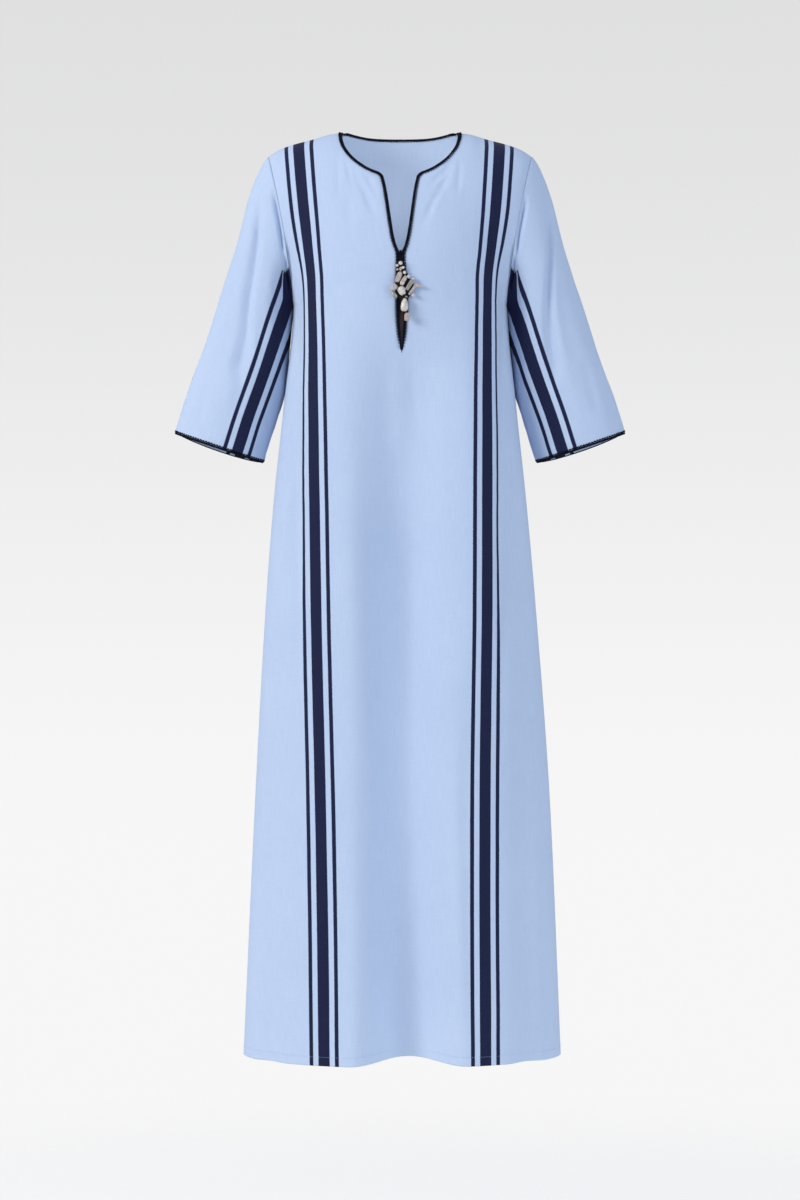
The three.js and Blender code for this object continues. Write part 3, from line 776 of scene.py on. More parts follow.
class Shader(NodeTree):
    """The node tree of one material, or of the world."""

    def __init__(self, owner: Material | bpy.types.World) -> None:
        """Gives the owner an empty tree."""
        owner.use_nodes = True
        super().__init__(owner.node_tree)
        self.owner = owner

    def node(
        self, kind: str, settings: Settings = None, values: Values = None, output: int | str = 0
    ) -> Wire:
        """Makes a node, as make does, and gives one of its outputs."""
        return Wire(self, self.make(kind, settings, values).outputs[output])

    def blend(self, share: Any, a: Any, b: Any) -> Wire:
        """A colour a share of the way from a to b, each a colour or a wire."""
        a, b = ((*c, 1.0) if isinstance(c, tuple) else c for c in (a, b))
        return self.node("ShaderNodeMix", {"data_type": "RGBA"}, {0: share, 6: a, 7: b}, 2)

    def place(self, kind: str = "Object") -> Wire:
        """The piece's own coordinates, in metres, or another kind of coordinates."""
        return self.node("ShaderNodeTexCoord", output=kind)

    def noise(self, where: Wire, scale: float, detail: float = 3.0) -> Wire:
        """Soft noise from 0 to 1."""
        return self.node("ShaderNodeTexNoise", None, {"Vector": where, "Scale": scale, "Detail": detail})

    def stretch(self, where: Wire, scale: Colour) -> Wire:
        """Coordinates scaled by their own amount along each axis."""
        return self.node("ShaderNodeVectorMath", {"operation": "MULTIPLY"}, {0: where, 1: scale})

    def parts(self, where: Wire) -> list[Wire]:
        """The three numbers of a vector."""
        made = self.make("ShaderNodeSeparateXYZ", None, {0: where})
        return [Wire(self, output) for output in made.outputs]

    def bump(self, height: Wire, strength: float, distance: float) -> Wire:
        """A surface relief as a normal."""
        values = {"Strength": strength, "Distance": distance, "Height": height}
        return self.node("ShaderNodeBump", None, values)

    def finish(self, values: dict[str, Any]) -> Material:
        """Ends the material in one Principled shader with these values."""
        surface = self.node("ShaderNodeBsdfPrincipled", None, values)
        self.make("ShaderNodeOutputMaterial", None, {"Surface": surface})
        return self.owner


def new_shader(name: str) -> Shader:
    """An empty shader for a new material."""
    return Shader(bpy.data.materials.new(name))


@dataclass(frozen=True)
class ClothFinish:
    """Light blue cotton crepe with a wide and two thin navy stripes woven in."""

    MAP = "cloth"
    STRIPE = "stripe"

    ground: Colour = (0.5, 0.612, 0.8)
    shade: Colour = (0.44, 0.552, 0.752)
    navy: Colour = (0.005, 0.0085, 0.042)
    navy_light: Colour = (0.011, 0.018, 0.07)
    wide_half: float = 8.7
    thin_half: float = 3.0
    thin_away: float = 19.5
    softness: float = 0.45
    raggedness: float = 0.9
    thread: float = 0.55

    def stripes(self, shader: Shader, cloth_map: Wire) -> Wire:
        """Where the navy threads are.

        Args:
            shader: The material's nodes.
            cloth_map: The cloth's own map.

        Returns:
            A mask, 1 on the navy threads.
        """
        away = shader.node("ShaderNodeAttribute", {"attribute_name": self.STRIPE}, output="Fac")
        picks = shader.noise(shader.stretch(cloth_map, (40.0, 1100.0, 0.0)), 1.0, 1.0)
        away = away + (picks - 0.5) * (self.raggedness * MM)
        wide = self.band(abs(away), self.wide_half)
        thin = self.band(abs(abs(away) - self.thin_away * MM), self.thin_half)
        return wide.maths("MAXIMUM", thin)

    def band(self, away: Wire, half: float) -> Wire:
        """1 within half a band's width of its middle, with soft edges."""
        return 1.0 - away.step((half - self.softness) * MM, (half + self.softness) * MM)

    def build(self) -> Material:
        """The cloth's material."""
        shader = new_shader("cloth_crepe")
        cloth_map = shader.node("ShaderNodeUVMap", {"uv_map": self.MAP})
        across, along, _ = shader.parts(cloth_map)
        place = shader.place()
        turn = 2 * math.pi / (self.thread * MM)
        weave = (across * turn).sine() * (along * turn).sine()
        warp = shader.noise(shader.stretch(cloth_map, (900.0, 34.0, 1.0)), 1.0, 2.0)
        weft = shader.noise(shader.stretch(cloth_map, (30.0, 1000.0, 1.0)), 1.0, 2.0)
        crepe = shader.noise(place, 420.0, 4.0)
        broad = shader.noise(place, 7.0, 2.0)
        streaks = (warp - 0.5) * 0.75 + (weft - 0.5) * 0.45
        dark = (streaks + (crepe - 0.5) * 0.5 + (broad - 0.5) * 0.4 + 0.5).step(0.1, 0.9)
        ground = shader.blend(dark, self.ground, self.shade)
        navy = shader.blend((streaks + crepe).step(0.45, 1.05), self.navy, self.navy_light)
        mask = self.stripes(shader, cloth_map)
        relief = weave * 0.35 + crepe * 0.8 + warp * 0.5 + weft * 0.35
        return shader.finish(
            {
                "Base Color": shader.blend(mask, ground, navy),
                "Roughness": 0.86 - mask * 0.12,
                "Specular IOR Level": 0.2,
                "Sheen Weight": 0.05,
                "Sheen Roughness": 0.45,
                "Normal": shader.bump(relief, 0.35, 0.0003),
            }
        )


@dataclass(frozen=True)
class ThreadFinish:
    """A plain dyed thread or close cloth, for braid, stitches and patches."""

    name: str
    dark: Colour
    light: Colour
    roughness: float = 0.75
    grain: float = 900.0
    sheen: float = 0.1
    specular: float = 0.3
    # painted light: the lighter colour lower down stands for light reaching there, painted into the base
    # colour
    painted_low_light: Colour | None = None  # its colour lower down, where light reaches it
    low_z: tuple[float, float] = (-0.3, -0.2)  # heights between which it takes that colour

    def build(self) -> Material:
        """The thread's material."""
        shader = new_shader(self.name)
        place = shader.place()
        fibre = shader.noise(place, self.grain, 4.0)
        broad = shader.noise(place, 60.0, 2.0)
        share = (fibre * 0.7 + broad * 0.3).step(0.3, 0.75)
        colour = shader.blend(share, self.dark, self.light)
        # painted light: below these heights the colour turns lighter, where light reaches
        if self.painted_low_light is not None:
            low = 1.0 - shader.parts(place)[2].step(*self.low_z)
            colour = shader.blend(low, colour, self.painted_low_light)
        return shader.finish(
            {
                "Base Color": colour,
                "Roughness": self.roughness + (fibre - 0.5) * 0.15,
                "Specular IOR Level": self.specular,
                "Sheen Weight": self.sheen,
                "Sheen Roughness": 0.4,
                "Normal": shader.bump(fibre, 0.5, 0.0002),
            }
        )


@dataclass(frozen=True)
class BeadFinish:
    """Polished shell, pearl or metal with soft veins."""

    name: str
    base: Colour
    vein: Colour
    roughness: float = 0.28
    metallic: float = 0.0
    coat: float = 0.35
    veins: float = 260.0

    def build(self) -> Material:
        """The bead's material."""
        shader = new_shader(self.name)
        place = shader.place()
        cloud = shader.noise(place, self.veins, 4.0)
        line = shader.noise(shader.stretch(place, (1.0, 1.0, 2.2)), self.veins * 2.4, 5.0)
        share = (cloud * 0.6 + line * 0.4).step(0.38, 0.66)
        return shader.finish(
            {
                "Base Color": shader.blend(share, self.base, self.vein),
                "Roughness": self.roughness + (line - 0.5) * 0.2,
                "Metallic": self.metallic,
                "Coat Weight": self.coat,
                "Coat Roughness": 0.12,
                "Normal": shader.bump(line, 0.25, 0.0002),
            }
        )


# ---------------------------------------------------------------- panels
class Girth:
    """Lengths measured round a face of the dress from its middle line."""

    STEP = 8.0  # between the heights that are measured

    def __init__(self, form: DressForm, face: Face) -> None:
        """Measures the face at many heights, from under the hem to over the shoulders."""
        self.form = form
        self.heights = np.arange(form.hem_z - 6, 26, self.STEP)
        self.shares = np.linspace(0, 1, 181) ** 0.8
        z = self.heights[:, None]
        self.table = {}
        for side in (-1, 1):
            x = side * self.shares * form.edge_x(z, np.full_like(z, side))
            y = form.fullness(x, z + 0 * x, face) - form.drawn_in(x, z + 0 * x, face)
            steps = np.hypot(np.diff(x, axis=1), np.diff(y, axis=1))
            self.table[side] = np.pad(np.cumsum(steps, axis=1), ((0, 0), (1, 0)))

    def at(self, x: Array, z: Array) -> Array:
        """The length from the middle line to each place.

        Args:
            x: Each place across the dress.
            z: Its height.

        Returns:
            The length, without a sign.
        """
        found = np.zeros(np.shape(x))
        row = np.clip((z - self.heights[0]) / self.STEP, 0, len(self.heights) - 1.001)
        low = row.astype(int)
        for side in (-1, 1):
            share = clamp01(side * x / self.form.edge_x(z, np.full_like(z, side)))
            column = np.interp(share, self.shares, np.arange(len(self.shares)))
            left = np.minimum(column.astype(int), len(self.shares) - 2)
            table = self.table[side]
            part, rise = column - left, row - low
            below = mix(table[low, left], table[low, left + 1], part)
            above = mix(table[low + 1, left], table[low + 1, left + 1], part)
            found = np.where(side * x > 0, mix(below, above, rise), found)
        return found


@dataclass
class Panel:
    """The front or the back of the dress, one piece of cloth."""

    form: DressForm
    face: Face
    creases: tuple[Crease, ...]
    wall: float = 0.9
    hem_wall: float = 1.9
    hem_deep: float = 13.0
    edge_away: float = 0.8  # the cloth edge under the braid, from the braid's centre line
    crest_start: float = 1.8  # from the neck's side to the first point of the shoulder seam
    neck_columns: int = 28
    shoulder_columns: int = 34
    upper_rows: int = 46
    slit_steps: int = 18
    lower_step: float = 5.3
    hem_band: float = 24.0  # the rows are closer this far up from the hem
    hem_steps: int = 15
    column_spread: float = 0.85
    row_spread: float = 1.2
    seam_fade: float = 14.0  # unevenness fades out this far from the side seam and the armhole
    crest_fade: float = 12.0  # and this far below the shoulder line and the neck
    groove: tuple[float, float] = (0.35, 2.4)  # depth and half width of the hem's stitched line
    pucker: tuple[float, float] = (0.3, 11.0)
    # depth, size across, size along and seed of each unevenness
    uneven: Rows = ((0.9, 70, 210, 0), (0.3, 22, 60, 9), (0.12, 8, 15, 19))
    # height, and x of the wide stripe's middle on the left and on the right
    stripe_rows: Rows = (
        (-20, 151, 148), (-75, 146, 144), (-125, 141, 140), (-170, 136, 135), (-230, 130.5, 129),
        (-400, 127.5, 128), (-700, 123, 127.5), (-1000, 116, 124), (-1374, 110.5, 125),
    )

    def half_grid(self, side: int) -> tuple[Array, Array, Array]:
        """One half panel, from neck and shoulder down to the hem.

        Args:
            side: -1 for the left half and 1 for the right one.

        Returns:
            The x and z of each point, and the armhole's angle for each upper row.
        """
        form, back = self.form, self.face is Face.BACK
        count = self.neck_columns + self.shoulder_columns
        w = np.sin(np.arange(count + 1) / count * np.pi / 2) ** self.column_spread
        neck = np.arange(self.neck_columns) / self.neck_columns
        neck_x, neck_z = form.neck_edge(self.face, neck, self.edge_away)
        t = np.arange(self.shoulder_columns + 1) / self.shoulder_columns
        crest_x = mix(form.neck_side[0] + self.edge_away + self.crest_start, form.armhole.top_x, t)
        top_x = side * np.concatenate([neck_x, crest_x])
        top_z = np.concatenate([neck_z, form.crest(crest_x)])
        start = top_z[0] if back else form.neck_front_rows[0][1] - form.corner_drop
        top_x[0], top_z[0] = float(self.inner_x(start, side)), start

        r = (np.arange(self.upper_rows) / self.upper_rows)[:, None]
        bottom_z = form.armhole.bottom_z
        edge = form.armhole.ring(np.pi * r[:, 0] * (-1 if back else 1), side)
        low = r**self.row_spread
        inner_z = mix(start, bottom_z, low)
        bottom_edge = side * form.edge_x(np.array(bottom_z), np.array(side))
        bottom = mix(self.inner_x(bottom_z, side), bottom_edge, w)
        across_x = mix(self.inner_x(inner_z, side), edge[:, :1], w)
        across_z = mix(inner_z, edge[:, 2:], w)
        corner_x = mix(mix(top_x[0], top_x[-1], w), bottom, r)
        corner_z = mix(mix(top_z[0], top_z[-1], w), bottom_z, low)
        upper_x = across_x + mix(top_x, bottom, r) - corner_x
        upper_z = across_z + mix(top_z, bottom_z, low) - corner_z

        z = self.lower_heights()[:, None]
        lower_x = mix(self.inner_x(z, side), side * form.edge_x(z, np.full_like(z, side)), w)
        fall = clamp01((form.slit_cloth_z - z) / (form.slit_cloth_z - form.hem_z))
        lift = np.zeros_like(lower_x) if back else form.hem_raised(lower_x)
        lower_z = z + lift * fall**form.hem_lift_power
        return np.vstack([upper_x, lower_x]), np.vstack([upper_z, lower_z]), np.pi * r[:, 0]

    def inner_x(self, z: Array, side: int) -> Array:
        """Where a half panel begins, at the middle line or the slit's edge."""
        if self.face is Face.BACK:
            return np.zeros(np.shape(z))
        return self.form.slit_middle.at(z) + side * self.form.cloth_slit(z, self.edge_away)

    def lower_heights(self) -> Array:
        """Heights of the rows below the armhole: beside the slit, down the skirt and at the hem."""
        form = self.form
        slit = np.sin(np.arange(self.slit_steps) / self.slit_steps * np.pi / 2)
        slit_z = mix(form.armhole.bottom_z, form.slit_cloth_z, slit)
        hem_top = form.hem_z + self.hem_band
        steps = round((form.slit_cloth_z - hem_top) / self.lower_step)
        long_z = np.linspace(form.slit_cloth_z, hem_top, steps, endpoint=False)
        return np.concatenate([slit_z, long_z, np.linspace(hem_top, form.hem_z, self.hem_steps + 1)])

    def relief(self, x: Array, z: Array) -> Array:
        """How far small creases and unevenness draw the cloth in, also along the hem's stitches.

        Args:
            x: Each place across the dress.
            z: Its height.

        Returns:
            The depth at each place, 0 at the panel's seams.
        """
        form, seed = self.form, 3.0 + self.face.value
        sunk = sum(crease.sink(x, z) for crease in self.creases)
        for depth, across, along, more in self.uneven:
            sunk = sunk + depth * mottle(x, z, across, along, seed + more)
        above = z - (form.hem_z + self.hem_deep)
        sunk = sunk + self.groove[0] * hump(above / self.groove[1])
        sunk = sunk + self.pucker[0] * hump(above / self.pucker[1]) * mottle(x, 0 * z, 6, 1, seed + 29)
        edge = form.edge_x(z, side_of(x)) - np.abs(x)
        return sunk * smooth(edge / self.seam_fade) * smooth(form.drop(x, z, self.face) / self.crest_fade)

    def build(self, name: str, finish: Material) -> Piece:
        """The panel's cloth.

        Args:
            name: The piece's name.
            finish: Its material.

        Returns:
            The finished piece.
        """
        girth = Girth(self.form, self.face)
        heights, left, right = zip(*self.stripe_rows)
        stripe = {-1: Table(heights, left), 1: Table(heights, right)}
        cloth, same, middle_x = ClothMesh(), None, None
        for side in (-1, 1):
            x, z, angle = self.half_grid(side)
            points, seams = self.sewn(x, z, angle, side)
            across = girth.at(x, z)
            away = across - girth.at(side * stripe[side].at(z), z)
            along = np.zeros_like(x)
            along[1:] = np.cumsum(np.linalg.norm(np.diff(points, axis=0), axis=2), axis=0)
            values = stack(side * across, along[-1:] - along, away)
            hem = smooth((self.form.hem_z + self.hem_deep + 1 - z) / 1.6)
            walls = mix(self.wall, self.hem_wall, hem)
            flip = (side < 0) == (self.face is Face.BACK)
            if same is not None:
                same[np.abs(x[:, 0] - middle_x) >= 0.01] = -1
            number = cloth.add_grid(points, values, walls, seams, flip, same)
            same, middle_x = np.full(x.shape, -1), x[:, 0]
            same[:, 0] = number[:, 0]
        return cloth.solid(name, finish)

    def sewn(self, x: Array, z: Array, angle: Array, side: int) -> tuple[Array, Array]:
        """A half panel's points, with its edges where they are sewn.

        Args:
            x: Each point across the dress.
            z: Its height.
            angle: The armhole's angle for each upper row.
            side: -1 or 1.

        Returns:
            The points, and the way that the seam faces at each, or zeros away from seams.
        """
        form, face = self.form, self.face
        points = form.on_face(x, z, face)
        points -= form.normal(x, z, face) * self.relief(x, z)[..., None]
        seams = np.zeros_like(points)
        seam_y = form.seam_gap / 2 * face.value
        turned = angle[1:] * (-1 if face is Face.BACK else 1)
        upper = len(angle)
        points[1:upper, -1] = form.armhole.ring(turned, side) - (side * form.seam_gap, 0, 0)
        seams[1:upper, -1] = form.armhole.normal(turned, side)
        points[upper:, -1] = stack(x[upper:, -1], seam_y, z[upper:, -1])
        seams[upper:, -1] = (side, 0, 0)
        crest = slice(self.neck_columns, None)
        points[0, crest] = stack(x[0, crest], seam_y, z[0, crest])
        seams[0, crest] = (0, 0, 1)
        points[0, -1, 0] -= side * form.seam_gap
        seams[0, -1] = form.armhole.normal(np.zeros(1), side)[0]
        return points, seams


# ---------------------------------------------------------------- sleeves
@dataclass
class SleeveForm:
    """The form of a sleeve: rings from the armhole to the cuff."""

    form: DressForm
    outer_rows: Rows = (
        (197, -30), (206, -43), (216, -64.5), (226.5, -94.5), (246, -169.5), (270, -244.5),
        (294, -319.5), (321, -394.5), (336, -441),
    )
    inner_rows: Rows = (
        (159.8, -255), (161.9, -272), (164.4, -300), (168.6, -342), (172.9, -384), (178.4, -404),
        (187.4, -431), (204, -485),
    )
    depth_rows: Rows = ((0, 62), (0.3, 59), (0.65, 52), (1, 45))  # share of the way down; half depth
    # angle, spread, place along, reach, depth
    fold_rows: Rows = (
        (128, 34, 0.13, 0.24, 11), (232, 34, 0.15, 0.26, 10), (60, 22, 0.55, 0.35, 2.5),
        (292, 24, 0.5, 0.4, 3),
    )
    fold_start: float = 0.04  # share of the way down over which the folds grow from the seam
    cap_reach: float = 0.4  # share over which the armhole's own loop dies away
    cuff_bow: tuple[float, float] = (2.5, 6.5)  # how far the cuff hangs lower, front and back

    def __post_init__(self) -> None:
        """Makes the smooth curves through the rows."""
        self.outer = Route(self.outer_rows)
        self.inner = Route(self.inner_rows)
        self.half = Table(*zip(*self.depth_rows))

    @staticmethod
    def _ring(outer: Any, inner: Any, depth: Array, angle: Array, side: int) -> Array:
        """Points of one ring, at angles from the outer fold over the front."""
        w = (1 + np.cos(angle)) / 2
        x, z = (mix(inner[k], outer[k], w) for k in (0, 1))
        return stack(side * x, -depth * np.sin(angle), z)

    def at(self, angle: Array, share: Array, side: int) -> Array:
        """Points of the sleeve.

        Args:
            angle: Angles round it, from the outer fold over the front.
            share: Shares of the way down it.
            side: -1 or 1.

        Returns:
            A point for each.
        """
        angle, share = (np.asarray(v, float) for v in np.broadcast_arrays(angle, share))
        outer, inner = self.outer.at(share), self.inner.at(share)
        points = self._ring(outer, inner, self.half.at(share), angle, side)
        hole = self.form.armhole
        start = self._ring(self.outer.at(0), self.inner.at(0), hole.front, angle, side)
        fade = (1 - smooth(share / self.cap_reach)) ** 2
        points = points + (hole.ring(angle, side) - start) * fade[..., None]
        middle = stack(side * (outer[0] + inner[0]) / 2, 0, (outer[1] + inner[1]) / 2)
        for centre, spread, place, reach, depth in self.fold_rows:
            around = hump((np.degrees(angle) - centre) / spread)
            amount = depth * around * hump((share - place) / reach)
            amount = amount * smooth(share / self.fold_start)
            points = points + unit(middle - points) * amount[..., None]
        bow = np.where(np.sin(angle) > 0, *self.cuff_bow)
        points[..., 2] -= bow * share**4 * np.abs(np.sin(angle))
        return points


@dataclass
class Sleeve:
    """One sleeve, set into its armhole."""

    shape: SleeveForm
    side: int
    creases: tuple[Crease, ...]
    wall: float = 0.9
    around: int = 132
    rings: int = 112
    ring_spread: float = 1.15
    tuck: float = 1.4  # how far the cloth reaches into the cuff's braid
    degree: float = 1.1  # millimetres round the sleeve for each degree
    length: float = 435.0
    stripe_away: float = 100.0  # the wide stripe's middle, from the outer fold
    width: float = 141.0
    depth: float = 52.0
    # partly painted shade: near the body, between tuck_low and tuck_top, the underarm's folded stripes
    # are drawn as one solid navy block that also covers the shaded cloth between them
    tuck_x: float = 173.0  # nearer the body than this, the underarm's folded stripes show
    tuck_mid: float = 168.0
    tuck_lean: float = 0.75
    tuck_top: float = -205.0
    tuck_low: float = -262.0
    top_fade: float = 0.012  # share of the sleeve over which unevenness fades at its head
    cuff_fade: float = 0.04
    swirl: float = 70.0  # size of the ring from which a sleeve's unevenness is read
    seam: tuple[float, float] = (0.5, 3.0)  # depth and half width in degrees of the sleeve's seam

    def stripe(self, points: Array) -> tuple[Array, Array]:
        """Measures the cloth across the sleeve.

        Args:
            points: Points of the sleeve.

        Returns:
            How far each is from the wide stripe's middle, set to solid navy in the underarm block of
            folded stripes and painted shade, and from the outer fold.
        """
        line = np.stack(self.shape.outer.at(np.linspace(0, 1, 60)), -1)
        line = np.vstack([line, line[-1] + (line[-1] - line[-2]) * 8])
        x, z = self.side * points[..., 0], points[..., 2]
        best, _ = nearest_on(line, x, z)
        angle = np.linspace(0, np.pi, 200)
        width = self.width / 2 * (1 - np.cos(angle))
        steps = np.hypot(np.diff(width), np.diff(self.depth * np.sin(angle)))
        arc = np.concatenate([[0.0], np.cumsum(steps)])
        walked = np.interp(best, width, arc)
        away = walked - np.interp(self.stripe_away, width, arc)
        height = z + self.tuck_lean * (x - self.tuck_mid)
        # painted shade: the underarm block is solid navy, covering the shaded cloth between the folded
        # stripes
        folded_and_shaded = np.where(height > self.tuck_low, 0.0, away)
        folded_and_shaded = np.where(height > self.tuck_top, np.minimum(away, -30), folded_and_shaded)
        return mix(away, folded_and_shaded, smooth((self.tuck_x - x) / 5 + 0.5)), walked

    def build(self, name: str, finish: Material) -> Piece:
        """The sleeve's cloth.

        Args:
            name: The piece's name.
            finish: Its material.

        Returns:
            The finished piece.
        """
        share = (np.arange(self.rings + 1) / self.rings) ** self.ring_spread
        angle = np.arange(self.around) / self.around * 2 * np.pi
        angle, share = np.meshgrid(angle, share)
        points = self.shape.at(angle, share, self.side)
        away, walked = self.stripe(points)
        ring = np.roll(points, -1, 1) - np.roll(points, 1, 1)
        normal = unit(np.cross(ring, np.gradient(points, axis=0))) * self.side
        points = points - normal * self.relief(angle, share)[..., None]
        points[0, :, 0] += self.side * self.shape.form.seam_gap
        tip = unit(points[-1] - points[-3]) * self.tuck
        points = np.concatenate([points, (points[-1] + tip)[None]])
        values = stack(np.where(angle > np.pi, -walked, walked), -share * self.length, away)
        values = np.concatenate([values, values[-1:] - (0, self.tuck, 0)])
        seams = np.zeros_like(points)
        seams[0] = self.shape.form.armhole.normal(angle[0], self.side)
        walls = np.full(points.shape[:2], self.wall)
        cloth, flip = ClothMesh(), self.side > 0
        number = cloth.add_grid(points, values, walls, seams, flip)
        ends = [-1, 0]
        cloth.add_grid(
            points[:, ends], values[:, ends], walls[:, ends], seams[:, ends], flip, number[:, ends]
        )
        return cloth.solid(name, finish)

    def relief(self, angle: Array, share: Array) -> Array:
        """How far small creases, unevenness and the sleeve's seam draw the cloth in.

        Args:
            angle: Angles round the sleeve.
            share: Shares of the way down it.

        Returns:
            The depth at each place, 0 at the sleeve's two ends.
        """
        u, v = np.degrees(angle) * self.degree, share * self.length
        sunk = sum(crease.sink(u, v) for crease in self.creases)
        swirl = stack(np.cos(angle), np.sin(angle), 0) * self.swirl
        wide = 0.8 * mottle(swirl[..., 0] + v * 0.2, swirl[..., 1] + v * 0.4, 42, 42, 5.0 + self.side)
        fine = 0.3 * mottle(swirl[..., 0], swirl[..., 1] + v * 0.6, 17, 17, 15.0 + self.side)
        seam = self.seam[0] * hump(np.abs(np.degrees(angle) - 180) / self.seam[1])
        fade = smooth(share / self.top_fade) * smooth((1 - share) / self.cuff_fade)
        return (sunk + wide + fine + seam) * fade


# ---------------------------------------------------------------- repeats made by Geometry Nodes
class GeometryTree(NodeTree):
    """A Geometry Nodes tree with named inputs that sets shapes along a line of carrier points."""

    def __init__(self, name: str) -> None:
        """Starts a tree whose first input is the carrier."""
        super().__init__(bpy.data.node_groups.new(name, "GeometryNodeTree"))
        self.settings: dict[str, Any] = {}
        self.tree.interface.new_socket("Geometry", in_out="OUTPUT", socket_type="NodeSocketGeometry")
        self.tree.interface.new_socket("Carrier", in_out="INPUT", socket_type="NodeSocketGeometry")
        self.inputs = self.tree.nodes.new("NodeGroupInput")

    def named(self, name: str, value: float) -> Socket:
        """Adds an input with its value, and gives the socket that carries it."""
        made = self.tree.interface.new_socket(name, in_out="INPUT", socket_type="NodeSocketFloat")
        self.settings[made.identifier] = value
        return self.inputs.outputs[made.identifier]

    def node(self, kind: str, settings: Settings = None, values: Values = None) -> Socket:
        """Makes a node, as make does, and gives its first output."""
        return self.make(kind, settings, values).outputs[0]

    def maths(self, operation: str, *values: Any) -> Socket:
        """A Math node's result."""
        return self.node("ShaderNodeMath", {"operation": operation}, dict(enumerate(values)))

    def vector(self, x: Any, y: Any, z: Any) -> Socket:
        """A vector from three numbers or sockets."""
        return self.node("ShaderNodeCombineXYZ", None, {0: x, 1: y, 2: z})

    def attribute(self, name: str, kind: str = "FLOAT_VECTOR") -> Socket:
        """A vector, or another kind of value, that the carrier's points hold."""
        return self.node("GeometryNodeInputNamedAttribute", {"data_type": kind}, {"Name": name})

    def ball(self, segments: int, rings: int) -> Socket:
        """A ball of radius 1."""
        values = {"Segments": segments, "Rings": rings, "Radius": 1.0}
        return self.node("GeometryNodeMeshUVSphere", None, values)

    def circle(self, sides: int, radius: Any) -> Socket:
        """A circle as a curve."""
        values = {"Resolution": sides, "Radius": radius}
        return self.node("GeometryNodeCurvePrimitiveCircle", {"mode": "RADIUS"}, values)

    def tube(self, path: Socket, section: Socket, caps: bool = False) -> Socket:
        """A section drawn along a path."""
        values = {"Curve": path, "Profile Curve": section, "Fill Caps": caps}
        return self.node("GeometryNodeCurveToMesh", None, values)

    def moved(self, shape: Socket, place: Any = None, turn: Any = None, scale: Any = None) -> Socket:
        """A shape moved, turned and scaled, each only where it is given."""
        values = {"Translation": place, "Rotation": turn, "Scale": scale}
        given = {key: value for key, value in values.items() if value is not None}
        return self.node("GeometryNodeTransform", None, {"Geometry": shape, **given})

    def joined(self, *shapes: Socket) -> Socket:
        """Shapes as one."""
        made = self.make("GeometryNodeJoinGeometry")
        for shape in shapes:
            self.tree.links.new(shape, made.inputs[0])
        return made.outputs[0]

    def spread(self, shape: Socket, seed: int, every: int = 1, uneven: float = 0.06) -> Socket:
        """The shape on the carrier's points, its Z along "up" and its X along "along".

        Args:
            shape: What is repeated.
            seed: Seed of its slight differences in size.
            every: 2 uses every other point.
            uneven: How much the sizes differ.

        Returns:
            The shapes as real geometry.
        """
        turn = self.node(
            "FunctionNodeAxesToRotation",
            {"primary_axis": "Z", "secondary_axis": "X"},
            {0: self.attribute("up"), 1: self.attribute("along")},
        )
        limits = {0: (1 - uneven,) * 3, 1: (1 + uneven,) * 3, "Seed": seed}
        size = self.node("FunctionNodeRandomValue", {"data_type": "FLOAT_VECTOR"}, limits)
        stated = {0: size, "Scale": self.attribute("size", "FLOAT")}
        size = self.node("ShaderNodeVectorMath", {"operation": "SCALE"}, stated)
        index = self.node("GeometryNodeInputIndex")
        chosen = self.maths("LESS_THAN", self.maths("MODULO", index, float(every)), 0.5)
        values = {
            "Points": self.inputs.outputs[0],
            "Selection": chosen,
            "Instance": shape,
            "Rotation": turn,
            "Scale": size,
        }
        made = self.node("GeometryNodeInstanceOnPoints", None, values)
        return self.node("GeometryNodeRealizeInstances", None, {0: made})

    def finish(self, shape: Socket, material: Material) -> None:
        """Ends the tree with the whole shape smooth, real and in its material."""
        shape = self.node("GeometryNodeSetShadeSmooth", None, {0: shape})
        shape = self.node("GeometryNodeRealizeInstances", None, {0: shape})
        shape = self.node("GeometryNodeSetMaterial", None, {"Geometry": shape, "Material": material})
        self.make("NodeGroupOutput", None, {0: shape})

    def grow(self, name: str, carrier: Line) -> Piece:
        """Runs the tree on a line of points.

        Args:
            name: The new piece's name.
            carrier: The points, with the way along the line and up from the cloth at each.

        Returns:
            The piece, as a plain mesh.
        """
        seed = mesh_object(name + "_carrier", carrier.points, [])
        for key, rows in (("along", carrier.along), ("up", carrier.up)):
            layer = seed.data.attributes.new(key, "FLOAT_VECTOR", "POINT")
            layer.data.foreach_set("vector", rows.astype(np.float32).ravel())
        layer = seed.data.attributes.new("size", "FLOAT", "POINT")
        layer.data.foreach_set("value", carrier.sizes.astype(np.float32))
        modifier = seed.modifiers.new("repeat", "NODES")
        modifier.node_group = self.tree
        for identifier, value in self.settings.items():
            modifier[identifier] = value
        ready = seed.evaluated_get(bpy.context.evaluated_depsgraph_get())
        mesh = bpy.data.meshes.new_from_object(ready)
        mesh.name = name
        bpy.data.objects.remove(seed)
        return new_object(name, mesh)


